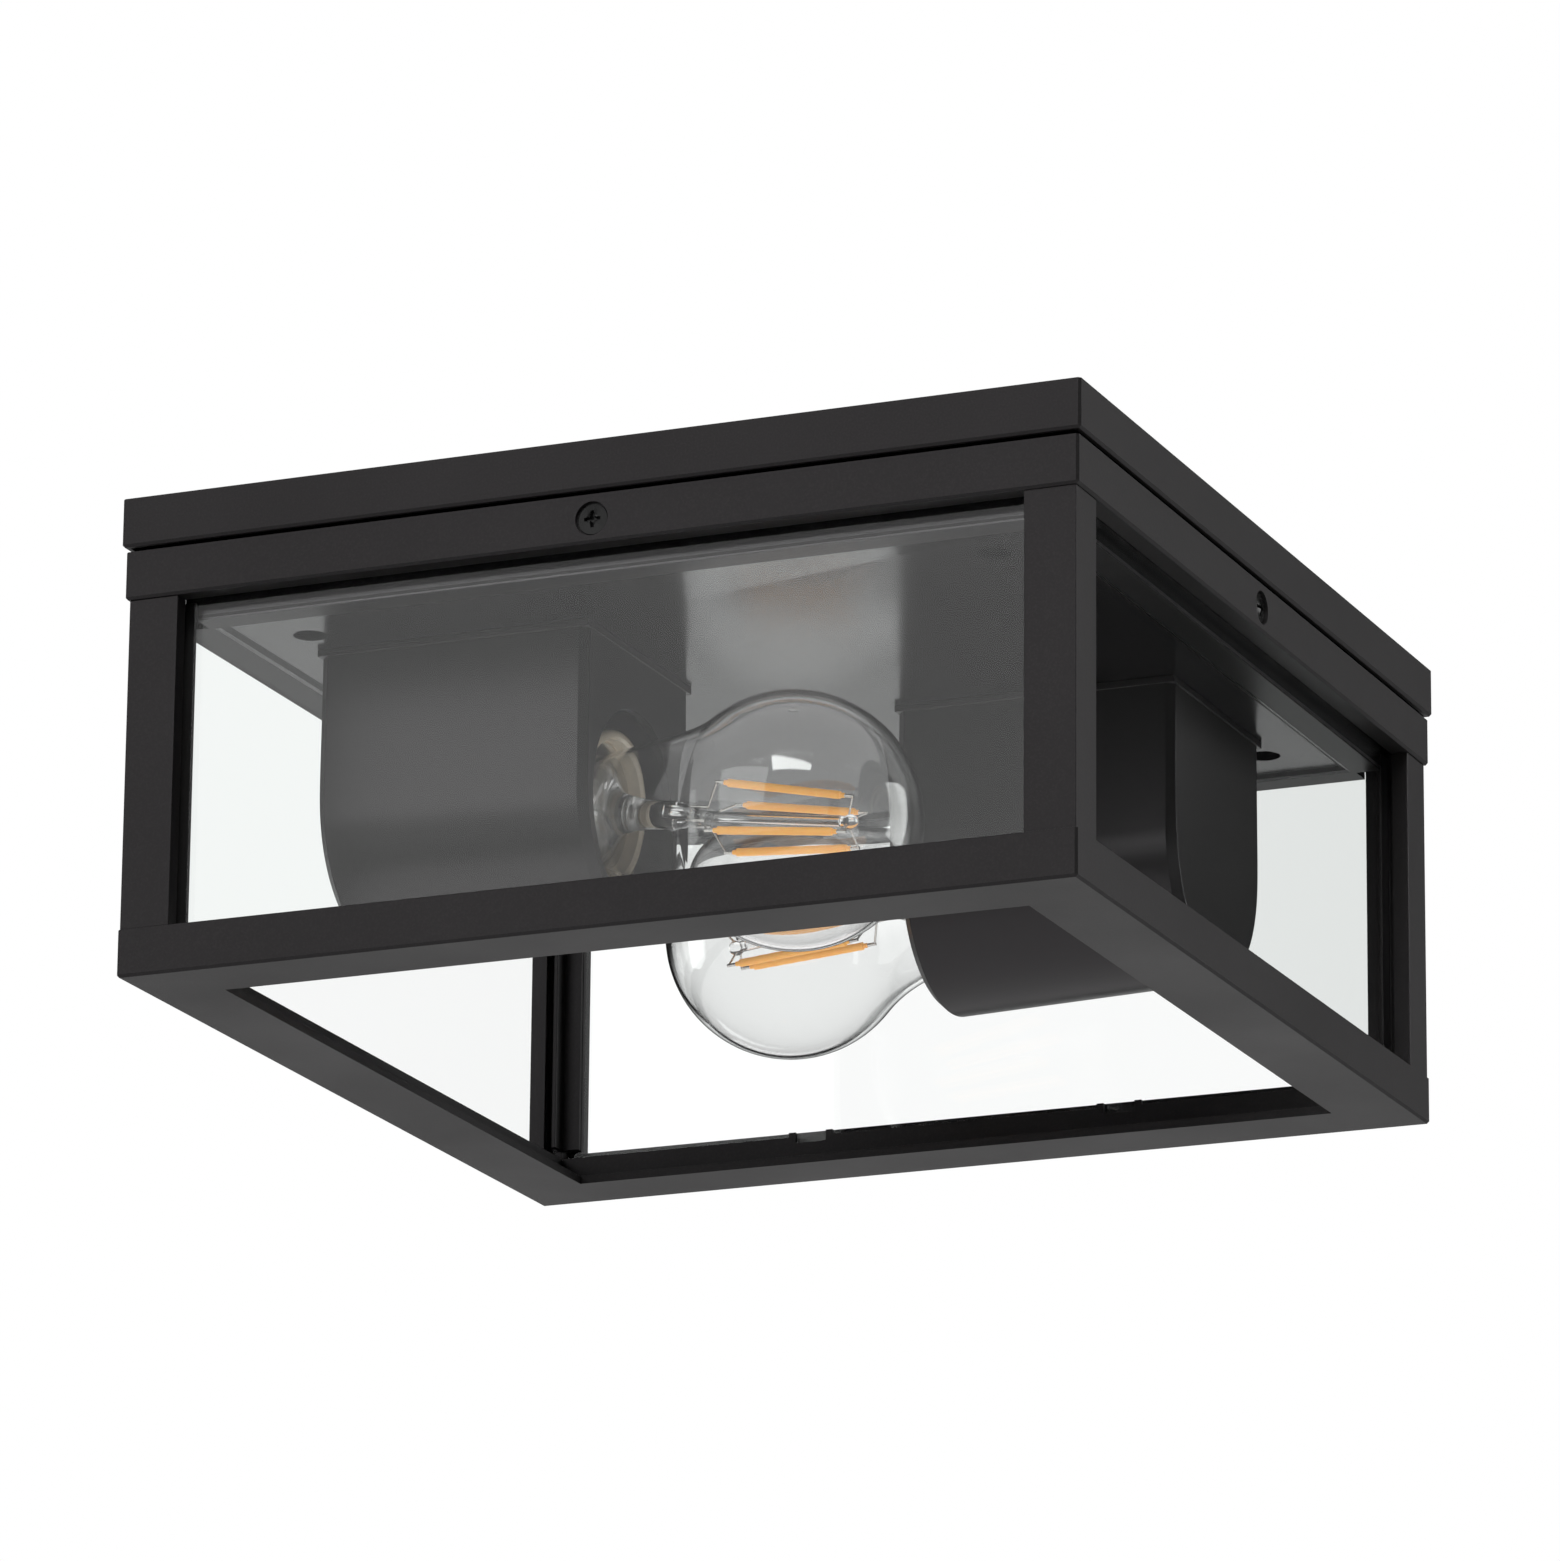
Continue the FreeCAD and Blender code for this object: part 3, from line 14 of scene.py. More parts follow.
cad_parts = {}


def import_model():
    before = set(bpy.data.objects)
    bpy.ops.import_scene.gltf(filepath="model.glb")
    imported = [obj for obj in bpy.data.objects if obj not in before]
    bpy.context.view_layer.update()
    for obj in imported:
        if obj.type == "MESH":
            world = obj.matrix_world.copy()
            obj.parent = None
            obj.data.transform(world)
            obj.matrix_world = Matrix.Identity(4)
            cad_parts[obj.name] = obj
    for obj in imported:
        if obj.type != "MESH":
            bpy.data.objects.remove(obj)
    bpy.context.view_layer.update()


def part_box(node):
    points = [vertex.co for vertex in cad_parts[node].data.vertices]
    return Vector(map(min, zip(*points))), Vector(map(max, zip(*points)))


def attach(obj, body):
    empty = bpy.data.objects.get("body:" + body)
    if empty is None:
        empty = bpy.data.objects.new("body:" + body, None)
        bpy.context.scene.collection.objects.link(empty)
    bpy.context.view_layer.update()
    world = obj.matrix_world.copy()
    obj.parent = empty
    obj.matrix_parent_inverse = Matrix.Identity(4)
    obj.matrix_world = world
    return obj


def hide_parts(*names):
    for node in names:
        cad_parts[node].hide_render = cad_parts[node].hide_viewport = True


log = logging.getLogger("lantern")

MM = 0.001
"""One millimetre in Blender's metres: sizes are in millimetres where a line doesn't say otherwise."""

WELD = 0.002
"""Distance within which two corners of a CAD copy are one."""

SEAM = 0.0005
"""Distance within which the first and last corners of a spin are one."""

FLAT_WITHIN = 0.4
"""Angle in degrees within which a CAD copy's triangles are one flat face."""

FIXED = "lantern"
"""Name of the body that doesn't move."""

Point = tuple[float, float]
Place = tuple[float, float, float]
Colour = tuple[float, float, float, float]
Socket = bpy.types.NodeSocket


class Side(Enum):
    """The four sides of the lantern, by their turn from the first, in degrees."""

    FRONT = 0
    RIGHT = 90
    BACK = 180
    LEFT = 270


class Lamp(Enum):
    """The two lamps, by the turn in degrees that carries the first onto each."""

    FIRST = 0
    SECOND = 180

    @property
    def number(self) -> int:
        """Number that the lamp's nodes end with."""
        return 1 if self is Lamp.FIRST else 2

    @property
    def body(self) -> str:
        """Name of the moving body that the bulb belongs to."""
        return f"bulb_{self.number}"

    @property
    def turn(self) -> Matrix:
        """Turn about the lantern's middle that carries the first lamp onto this one."""
        return Matrix.Rotation(math.radians(self.value), 4, "Z")


def black(level: float, warmth: float = 0.0) -> Colour:
    """Return a near-black colour.

    Args:
        level: Linear brightness.
        warmth: Share by which red leads and blue trails.

    Returns:
        The colour with an alpha of one.
    """
    return (level * (1 + warmth), level, level * (1 - warmth), 1.0)


# ---- node trees
class Recipe:
    """The node tree of a material or of the surroundings, written one node at a time."""

    def __init__(self, owner: bpy.types.Material | bpy.types.World) -> None:
        """Start with an empty tree.

        Args:
            owner: What the tree belongs to.
        """
        owner.use_nodes = True
        self.owner = owner
        self.tree = owner.node_tree
        self.tree.nodes.clear()

    @cached_property
    def place(self) -> Socket:
        """Coordinates of the object that wears the material."""
        return self.add("ShaderNodeTexCoord").outputs["Object"]

    def add(self, kind: str, inputs: Optional[dict] = None, **settings) -> bpy.types.Node:
        """Add a node, set its properties and fill its sockets.

        Args:
            kind: Type name of the node.
            inputs: Socket names or indices with a value, or with a socket to link.
            **settings: Properties of the node itself.

        Returns:
            The new node.
        """
        node = self.tree.nodes.new(kind)
        for name, value in settings.items():
            setattr(node, name, value)
        for name, value in (inputs or {}).items():
            socket = node.inputs[name]
            if isinstance(value, Socket):
                self.tree.links.new(value, socket)
            else:
                socket.default_value = value
        return node

    def sum(self, operation: str, first: Socket | float, second: Socket | float,
            clamped: bool = False) -> Socket:
        """Return the result of a small sum.

        Args:
            operation: Name of the sum.
            first: First socket or number.
            second: Second socket or number.
            clamped: Whether the result stays between 0 and 1.

        Returns:
            The result's socket.
        """
        node = self.add("ShaderNodeMath", {0: first, 1: second}, operation=operation, use_clamp=clamped)
        return node.outputs[0]

    def noise(self, grain: float, detail: float = 2.0, roughness: float = 0.5,
              stretch: Place = (1.0, 1.0, 1.0)) -> Socket:
        """Return a cloudy pattern.

        Args:
            grain: Size of its spots.
            detail: Octaves of finer spots.
            roughness: Weight of those octaves.
            stretch: Scale along each axis, for drawn marks.

        Returns:
            The socket with values about one half.
        """
        mapped = self.add("ShaderNodeMapping", {"Vector": self.place, "Scale": stretch})
        pattern = self.add("ShaderNodeTexNoise", {
            "Vector": mapped.outputs["Vector"], "Scale": 1 / (grain * MM), "Detail": detail,
            "Roughness": roughness})
        return pattern.outputs["Fac"]

    def between(self, factor: Socket, low: float, high: float, start: float = 0.3,
                end: float = 0.7) -> Socket:
        """Return a number that follows a pattern between two values.

        Args:
            factor: The pattern.
            low: Value where the pattern is at start or less.
            high: Value where the pattern is at end or more.
            start: Lower end of the pattern's useful range.
            end: Upper end of that range.

        Returns:
            The mapped socket.
        """
        ranged = self.add("ShaderNodeMapRange", {
            "Value": factor, "From Min": start, "From Max": end, "To Min": low, "To Max": high})
        return ranged.outputs["Result"]

    def mix(self, factor: Socket, first: Socket | float, second: Socket | float) -> Socket:
        """Return a number that a factor leads from a first value at 0 to a second at 1."""
        return self.add("ShaderNodeMix", {0: factor, 2: first, 3: second}).outputs[0]

    def blend(self, factor: Socket, first: Colour, second: Colour) -> Socket:
        """Return a colour that a factor leads from a first at 0 to a second at 1."""
        return self.add("ShaderNodeMix", {0: factor, 6: first, 7: second}, data_type="RGBA").outputs[2]

    def relief(self, height: Socket, depth: float, below: Optional[Socket] = None) -> Socket:
        """Return a normal that follows a height pattern.

        Args:
            height: The pattern.
            depth: Height between its lowest and highest spots.
            below: Normal of a coarser relief under this one.

        Returns:
            The normal's socket.
        """
        wanted = {"Height": height, "Distance": depth * MM}
        if below is not None:
            wanted["Normal"] = below
        return self.add("ShaderNodeBump", wanted).outputs["Normal"]

    def surface(self, shader: Socket) -> bpy.types.Material:
        """Show a shader and return the finished material."""
        self.add("ShaderNodeOutputMaterial", {"Surface": shader})
        return self.owner

    def clear_in_shadow(self, shader: Socket, tint: Colour, mirrored: bool) -> Socket:
        """Let light through a glass so that what stands behind it is lit.

        Args:
            shader: The glass.
            tint: Share of the light that passes.
            mirrored: Whether mirrored rays that come from outside the glass pass straight too.

        Returns:
            The shader with straight, tinted shadows.
        """
        path = self.add("ShaderNodeLightPath").outputs
        through = self.add("ShaderNodeBsdfTransparent", {"Color": tint})
        either = self.sum("MAXIMUM", path["Is Shadow Ray"], path["Is Diffuse Ray"])
        if mirrored:
            back = self.add("ShaderNodeNewGeometry").outputs["Backfacing"]
            outside = self.sum("SUBTRACT", 1.0, back)
            straight = self.sum("ADD", outside, path["Transparent Depth"], clamped=True)
            either = self.sum("MAXIMUM", either, self.sum("MULTIPLY", straight, path["Is Glossy Ray"]))
        mixed = self.add("ShaderNodeMixShader", {0: either, 1: shader, 2: through.outputs["BSDF"]})
        return mixed.outputs["Shader"]


@dataclass(frozen=True)
class Finish:
    """What every finish has: a name and the record's material slot that it belongs to."""

    name: str
    slot: str

    def material(self) -> bpy.types.Material:
        """Return the finish's material, made once."""
        known = bpy.data.materials.get(self.name)
        return known if known else self.make(Recipe(bpy.data.materials.new(self.name)))

    def make(self, recipe: Recipe) -> bpy.types.Material:
        """Write the finish into an empty tree and return its material."""
        raise NotImplementedError


@dataclass(frozen=True)
class Coating(Finish):
    """Opaque finish with a cloudy gloss and, where its depth isn't 0, a fine grain."""

    colour: Colour = black(0.02)
    fleck: Colour = black(0.03)
    gloss: Point = (0.35, 0.5)
    grain: float = 0.45
    grain_depth: float = 0.02
    wave: float = 9.0
    wave_depth: float = 0.0
    specular: float = 0.5
    tint: Colour = (1.0, 1.0, 1.0, 1.0)
    coat: float = 0.0
    coat_gloss: float = 0.08

    def make(self, recipe: Recipe) -> bpy.types.Material:
        """Write the finish into an empty tree and return its material."""
        return recipe.surface(recipe.add("ShaderNodeBsdfPrincipled", self.sockets(recipe)).outputs["BSDF"])

    def sockets(self, recipe: Recipe) -> dict[str, Socket | float | Colour]:
        """Return what the surface shader's sockets hold.

        Args:
            recipe: The tree that the patterns are added to.

        Returns:
            The sockets' names with their patterns and values.
        """
        cloud = recipe.noise(self.wave * 2, detail=4.0)
        spots, wanted = cloud, {}
        if self.grain_depth:
            spots = recipe.noise(self.grain, detail=3.0, roughness=0.6)
            wanted["Normal"] = recipe.relief(spots, self.grain_depth)
        if self.wave_depth:
            wanted["Normal"] = recipe.relief(recipe.noise(self.wave), self.wave_depth, wanted["Normal"])
        mottle = recipe.between(spots, 0.0, 1.0, 0.45, 0.75)
        return wanted | {
            "Base Color": recipe.blend(mottle, self.colour, self.fleck),
            "Roughness": recipe.between(cloud, *self.gloss),
            "Specular IOR Level": self.specular, "Specular Tint": self.tint,
            "Coat Weight": self.coat, "Coat Roughness": self.coat_gloss}


@dataclass(frozen=True)
class PartlyMatt(Coating):
    """Coating that is matt below a height, except on a rim that is worn bright."""

    matt_below: float = 0.0
    matt_gloss: float = 0.5
    matt_specular: float = 0.2
    worn: Point = (0.0, 0.0)
    fade: float = 0.1
    worn_fade: float = 0.03

    def sockets(self, recipe: Recipe) -> dict[str, Socket | float | Colour]:
        """Return what the surface shader's sockets hold.

        Args:
            recipe: The tree that the patterns are added to.

        Returns:
            The sockets' names with their patterns and values.
        """
        wanted = super().sockets(recipe)
        height = recipe.add("ShaderNodeSeparateXYZ", {0: recipe.place}).outputs["Z"]
        steps = [recipe.between(height, low, high, start * MM, (start + fade) * MM)
                 for start, fade, low, high in ((self.matt_below, self.fade, 0.0, 1.0),
                                                (self.worn[0], self.worn_fade, 0.0, 1.0),
                                                (self.worn[1], self.worn_fade, 1.0, 0.0))]
        polished = recipe.sum("MAXIMUM", steps[0], recipe.sum("MULTIPLY", *steps[1:]))
        wanted["Roughness"] = recipe.mix(polished, self.matt_gloss, wanted["Roughness"])
        wanted["Specular IOR Level"] = recipe.between(
            polished, self.matt_specular, self.specular, 0.0, 1.0)
        return wanted


@dataclass(frozen=True)
class Drawn(Finish):
    """Bare or plated metal with faint drawn marks along one axis."""

    colour: Colour = (0.6, 0.6, 0.6, 1.0)
    stain: Colour = (0.45, 0.45, 0.44, 1.0)
    gloss: Point = (0.2, 0.38)
    mark: float = 0.25
    mark_depth: float = 0.004
    stretch: Place = (0.05, 1.0, 1.0)
    cloud: float = 6.0

    def make(self, recipe: Recipe) -> bpy.types.Material:
        """Write the finish.

        Args:
            recipe: An empty tree.

        Returns:
            The material.
        """
        marks = recipe.noise(self.mark, detail=3.0, stretch=self.stretch)
        cloud = recipe.between(recipe.noise(self.cloud, detail=4.0), 0.0, 1.0)
        shader = recipe.add("ShaderNodeBsdfPrincipled", {
            "Base Color": recipe.blend(cloud, self.colour, self.stain),
            "Roughness": recipe.between(marks, *self.gloss),
            "Metallic": 1.0, "Normal": recipe.relief(marks, self.mark_depth)})
        return recipe.surface(shader.outputs["BSDF"])


@dataclass(frozen=True)
class Glass(Finish):
    """Clear glass, clean as in the photograph; blown glass has a faint ripple."""

    tint: Colour = (0.99, 1.0, 0.995, 1.0)
    shadow: Colour = (0.94, 0.95, 0.945, 1.0)
    index: float = 1.5
    ripple: float = 0.0
    ripple_width: float = 16.0

    def make(self, recipe: Recipe) -> bpy.types.Material:
        """Write the finish.

        Args:
            recipe: An empty tree.

        Returns:
            The material.
        """
        wanted = {"Base Color": self.tint, "IOR": self.index, "Transmission Weight": 1.0, "Roughness": 0.0}
        if self.ripple:
            wanted["Normal"] = recipe.relief(recipe.noise(self.ripple_width, detail=1.0), self.ripple)
        shader = recipe.add("ShaderNodeBsdfPrincipled", wanted).outputs["BSDF"]
        return recipe.surface(recipe.clear_in_shadow(shader, self.shadow, mirrored=not self.ripple))


@dataclass(frozen=True)
class Phosphor(Finish):
    """Amber silicone over a filament's diodes: translucent, with a faint painted glow in its own colour that
    stands in for the light it catches, though the bulb is off.
    """

    colour: Colour = (1.0, 0.5, 0.1, 1.0)
    deep: Colour = (1.0, 0.42, 0.07, 1.0)
    painted_glow: float = 0.3
    gloss: Point = (0.32, 0.5)
    bead: float = 1.1
    bead_depth: float = 0.06
    cloudiness: float = 0.25
    cloud_reach: float = 0.8

    def make(self, recipe: Recipe) -> bpy.types.Material:
        """Write the finish.

        Args:
            recipe: An empty tree.

        Returns:
            The material.
        """
        beads = recipe.noise(self.bead)
        shader = recipe.add("ShaderNodeBsdfPrincipled", {
            "Base Color": recipe.blend(recipe.between(beads, 0.0, 1.0), self.deep, self.colour),
            "Roughness": recipe.between(beads, *self.gloss), "Subsurface Weight": self.cloudiness,
            "Subsurface Scale": self.cloud_reach * MM, "Normal": recipe.relief(beads, self.bead_depth),
            # Emission: painted glow that stands in for the back light and scatter brightening the amber
            # coat; the bulb is off
            "Emission Color": self.colour, "Emission Strength": self.painted_glow})
        return recipe.surface(shader.outputs["BSDF"])


PURPLISH = (1.0, 0.94, 0.985, 1.0)
POWDER_COAT = Coating("powder_coat", "black_coat", colour=black(0.0055, 0.04), fleck=black(0.011, 0.04),
                      gloss=(0.42, 0.5), grain=0.5, wave=30.0, specular=0.3, tint=PURPLISH)
HOUSING_COAT = Coating("housing_coat", "black_coat", colour=black(0.007, 0.03), fleck=black(0.01, 0.03),
                       gloss=(0.3, 0.36), grain_depth=0.0, wave=30.0, tint=PURPLISH)
MOULDING = PartlyMatt("black_moulding_grain", "black_moulding", colour=black(0.006), fleck=black(0.009),
                      gloss=(0.16, 0.22), grain_depth=0.0, wave=26.0, specular=0.75,
                      tint=PURPLISH, matt_below=-27.35, matt_gloss=0.38, matt_specular=0.25,
                      worn=(-28.47, -28.05))
SCREW_BLACK = Coating("blackened_screw", "black_screw", colour=black(0.006), fleck=black(0.01),
                      gloss=(0.18, 0.26), grain=0.3, grain_depth=0.003, specular=0.2)
GLAZE = Coating("ivory_glaze", "glazed_holder", colour=(0.82, 0.73, 0.58, 1.0),
                fleck=(0.76, 0.66, 0.5, 1.0), gloss=(0.12, 0.22), grain=0.8,
                grain_depth=0.004, wave=6.0, wave_depth=0.05, coat=0.6)
RUBBER = Coating("grommet_skin", "grommet_rubber", colour=black(0.012), fleck=black(0.02), gloss=(0.6, 0.75),
                 grain=0.6, grain_depth=0.03)
NYLON = Coating("natural_nylon", "terminal_plastic", colour=(0.75, 0.75, 0.71, 1.0),
                fleck=(0.68, 0.68, 0.64, 1.0), gloss=(0.25, 0.35), grain=0.8,
                grain_depth=0.01)
DARK_GLASS = Coating("dark_insulator_glaze", "dark_insulator", colour=black(0.01), fleck=black(0.02),
                     gloss=(0.08, 0.16), grain=0.8, grain_depth=0.004, coat=0.8)
ZINC = Drawn("zinc_plate", "zinc_steel", colour=(0.62, 0.62, 0.6, 1.0), stain=(0.5, 0.5, 0.47, 1.0))
NICKEL = Drawn("nickel_plate", "nickel_sleeve", colour=(0.66, 0.63, 0.58, 1.0),
               stain=(0.55, 0.52, 0.46, 1.0), gloss=(0.12, 0.24))
CAP_METAL = Drawn("cap_plate", "cap_metal", colour=(0.74, 0.74, 0.73, 1.0),
                  stain=(0.62, 0.62, 0.6, 1.0), gloss=(0.14, 0.26))
BRASS = Drawn("contact_brass", "brass_contact", colour=(0.72, 0.5, 0.2, 1.0),
              stain=(0.5, 0.34, 0.14, 1.0))
WIRE = Drawn("lead_nickel", "lead_wire", colour=(0.7, 0.68, 0.65, 1.0), stain=(0.6, 0.58, 0.55, 1.0),
             gloss=(0.18, 0.3))
PANE = Glass("pane_float_glass", "pane_glass", index=1.34)
SIDE_PANE = Glass("side_pane_glass", "pane_glass", index=1.14)
BULB_GLASS = Glass("bulb_blown_glass", "bulb_glass", tint=(0.995, 0.995, 0.995, 1.0),
                   shadow=(0.97, 0.97, 0.97, 1.0), ripple=0.03)
AMBER = Phosphor("amber_phosphor", "filament_coating")


# ---- shaping
class Workpiece:
    """A piece in the making: one bmesh, in millimetres until it is finished."""

    def __init__(self) -> None:
        """Start with nothing on the bench."""
        self.mesh = bmesh.new()

    @classmethod
    def copy_of(cls, node: str) -> "Workpiece":
        """Start from a merged copy of a CAD node, with its flat faces whole again.

        Args:
            node: Name of the node.

        Returns:
            The workpiece.
        """
        piece = cls()
        piece.mesh.from_mesh(bpy.data.objects[node].data)
        piece.move(Matrix.Scale(1 / MM, 4))
        bmesh.ops.remove_doubles(piece.mesh, verts=piece.mesh.verts, dist=WELD)
        bmesh.ops.dissolve_limit(piece.mesh, angle_limit=math.radians(FLAT_WITHIN),
                                 verts=piece.mesh.verts, edges=piece.mesh.edges,
                                 use_dissolve_boundaries=False, delimit={"NORMAL"})
        return piece

    def move(self, matrix: Matrix) -> "Workpiece":
        """Carry the whole piece by a matrix and return it."""
        self.mesh.transform(matrix)
        return self

    def add(self, other: "Workpiece") -> "Workpiece":
        """Lay another workpiece's faces beside this one's.

        Args:
            other: The second piece, used up.

        Returns:
            This piece.
        """
        spare = bpy.data.meshes.new("joined")
        other.mesh.to_mesh(spare)
        self.mesh.from_mesh(spare)
        bpy.data.meshes.remove(spare)
        other.mesh.free()
        return self

    def block(self, low: Sequence[float], high: Sequence[float]) -> "Workpiece":
        """Add a box.

        Args:
            low: Its lowest corner.
            high: Its highest corner.

        Returns:
            The piece.
        """
        size = Vector(high) - Vector(low)
        shape = Matrix.Translation((Vector(low) + Vector(high)) / 2) @ Matrix.Diagonal((*size, 1.0))
        bmesh.ops.create_cube(self.mesh, size=1.0, matrix=shape)
        return self

    def bar(self, start: Vector, end: Vector, radius: float, sides: int = 12) -> "Workpiece":
        """Add a round bar between two points.

        Args:
            start: One end.
            end: The other end.
            radius: Its radius.
            sides: Faces round it.

        Returns:
            The piece.
        """
        along = end - start
        turn = along.to_track_quat("Z", "Y").to_matrix().to_4x4()
        bmesh.ops.create_cone(self.mesh, cap_ends=True, segments=sides, radius1=radius, radius2=radius,
                              depth=along.length, matrix=Matrix.Translation((start + end) / 2) @ turn)
        return self

    def turned(self, outline: Sequence[Point], steps: int = 64, closed: bool = False) -> "Workpiece":
        """Spin an outline round the X axis.

        Args:
            outline: Points as distance along X and radius.
            steps: Faces round the piece.
            closed: Whether the outline joins its own start.

        Returns:
            The piece.
        """
        points = [self.mesh.verts.new((along, radius, 0.0)) for along, radius in outline]
        after = points[1:] + points[:1] if closed else points[1:]
        edges = [self.mesh.edges.new(pair) for pair in zip(points, after)]
        bmesh.ops.spin(self.mesh, geom=points + edges, cent=(0, 0, 0), axis=(1, 0, 0),
                       angle=math.tau, steps=steps, use_merge=True, use_duplicate=False)
        bmesh.ops.remove_doubles(self.mesh, verts=self.mesh.verts, dist=SEAM)
        bmesh.ops.recalc_face_normals(self.mesh, faces=self.mesh.faces)
        return self

    def joined_with(self, other: "Workpiece", operation: str) -> "Workpiece":
        """Join or cut this piece with another by a Boolean.

        Args:
            other: The second piece, used up.
            operation: UNION or DIFFERENCE.

        Returns:
            A new workpiece; this one is used up too.
        """
        objects = []
        for work in (self, other):
            data = bpy.data.meshes.new("boolean")
            work.mesh.to_mesh(data)
            work.mesh.free()
            objects.append(bpy.data.objects.new("boolean", data))
            bpy.context.scene.collection.objects.link(objects[-1])
        step = objects[0].modifiers.new("join", "BOOLEAN")
        step.operation, step.object, step.solver = operation, objects[1], "EXACT"
        graph = bpy.context.evaluated_depsgraph_get()
        made = bpy.data.meshes.new_from_object(objects[0].evaluated_get(graph))
        result = Workpiece()
        result.mesh.from_mesh(made)
        for used in objects:
            bpy.data.meshes.remove(used.data)
        return result

    def eased(self, width: float, segments: int = 2, limit: float = 30.0) -> "Workpiece":
        """Bevel the sharp edges.

        Args:
            width: Width of the bevel.
            segments: Faces across it.
            limit: Angle in degrees from which an edge counts as sharp.

        Returns:
            The piece.
        """
        sharp = [edge for edge in self.mesh.edges
                 if len(edge.link_faces) == 2 and edge.calc_face_angle(0.0) > math.radians(limit)]
        bmesh.ops.bevel(self.mesh, geom=sharp, offset=width, offset_type="OFFSET", affect="EDGES",
                        segments=segments, profile=0.5, material=-1, clamp_overlap=True,
                        miter_outer="SHARP", miter_inner="SHARP")
        return self

    def finished(self, name: str, finish: Finish, body: str, stands_for: Sequence[str],
                 smooth_below: float = 35.0, even: bool = True) -> None:
        """Turn the work into an object that rides on a body.

        Args:
            name: Name of the piece.
            finish: Its finish.
            body: Body that it moves with.
            stands_for: CAD nodes that it is shown instead of.
            smooth_below: Angle in degrees below which faces shade as one.
            even: Whether broad faces keep their own normals beside narrow bevels.
        """
        self.move(Matrix.Scale(MM, 4))
        for face in self.mesh.faces:
            face.smooth = True
        for edge in self.mesh.edges:
            edge.smooth = edge.calc_face_angle(math.pi) < math.radians(smooth_below)
        data = bpy.data.meshes.new(name)
        self.mesh.to_mesh(data)
        self.mesh.free()
        piece = bpy.data.objects.new(name, data)
        bpy.context.scene.collection.objects.link(piece)
        data.materials.append(finish.material())
        if even:
            piece.modifiers.new("even_faces", "WEIGHTED_NORMAL").keep_sharp = True
        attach(piece, body)
        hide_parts(*stands_for)
        log.info("%s: %d faces", name, len(data.polygons))


def arc(centre: Point, radius: float, start: float, end: float, steps: int) -> list[Point]:
    """Return points along an arc.

    Args:
        centre: Its centre.
        radius: Its radius.
        start: Angle of its first point in degrees.
        end: Angle of its last point in degrees.
        steps: Number of chords.

    Returns:
        The points, both ends included.
    """
    angles = [math.radians(start + (end - start) * step / steps) for step in range(steps + 1)]
    return [(centre[0] + radius * math.cos(a), centre[1] + radius * math.sin(a)) for a in angles]


def shifted(outline: Sequence[Point], along: float, out: float = 0.0) -> list[Point]:
    """Return an outline moved along its axis and away from it."""
    return [(along + step, out + radius) for step, radius in outline]


# ---- frame and base
@dataclass
class Frame:
    """Tray, rings, posts and the four panes between them."""

    edge: float = 0.28
    pane_edge: float = 0.35
    pane_smooth_below: float = 10.0
    lip_from: float = 107.0
    lip_half: float = 60.0
    lip_top: float = -104.5
    clip_reach: float = 1.6
    sliver: float = 0.001

    def build(self) -> None:
        """Build every piece of the frame."""
        for node in ("ceiling_tray", "upper_ring"):
            self.coated(node, Workpiece.copy_of(node))
        self.lower_ring()
        for corner in ("front_left", "front_right", "back_right", "back_left"):
            self.coated(f"post_{corner}", Workpiece.copy_of(f"post_{corner}"))
        for side in Side:
            aside = side in (Side.LEFT, Side.RIGHT)
            self.pane(f"glass_{side.name.lower()}", SIDE_PANE if aside else PANE)

    def coated(self, node: str, piece: Workpiece) -> None:
        """Finish a powder-coated piece, with the soft edges that the coat leaves."""
        piece.eased(self.edge).finished(f"{node}_coated", POWDER_COAT, FIXED, [node])

    def lower_ring(self) -> None:
        """Build the lower ring with plain lips left and right, as the photograph shows them."""
        piece = Workpiece.copy_of("lower_ring")
        for vertex in piece.mesh.verts:
            place = vertex.co
            beside = abs(place.x) > self.lip_from and abs(place.y) < self.lip_half
            if beside and abs(place.z - self.lip_top) < self.clip_reach:
                place.z = self.lip_top
        bmesh.ops.remove_doubles(piece.mesh, verts=piece.mesh.verts, dist=WELD)
        bmesh.ops.dissolve_degenerate(piece.mesh, dist=self.sliver, edges=piece.mesh.edges)
        self.coated("lower_ring", piece)

    def pane(self, node: str, glass: Glass) -> None:
        """Build a pane with ground edges.

        Args:
            node: CAD node that it stands for.
            glass: Its glass.
        """
        low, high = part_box(node)
        piece = Workpiece().block(low / MM, high / MM).eased(self.pane_edge, segments=1)
        piece.finished(f"{node}_pane", glass, FIXED, [node], smooth_below=self.pane_smooth_below,
                       even=False)


@dataclass
class Base:
    """Moulded base with its plate, and what is fastened to it out of sight."""

    edge: float = 0.45
    small_edge: float = 0.12

    def build(self) -> None:
        """Build the base and finish the pieces on it."""
        Workpiece.copy_of("inner_base").eased(self.edge).finished(
            "inner_base_moulding", MOULDING, FIXED, ["inner_base"])
        for node, finish in (("cable_grommet", RUBBER), ("terminal_block", NYLON),
                             ("terminal_screw", ZINC), ("base_screws", ZINC), ("tie_rods", ZINC),
                             ("housing_screws", ZINC), ("bracket_screws", ZINC), ("holder_screws", ZINC)):
            Workpiece.copy_of(node).eased(self.small_edge, segments=1).finished(
                f"{node}_made", finish, FIXED, [node])


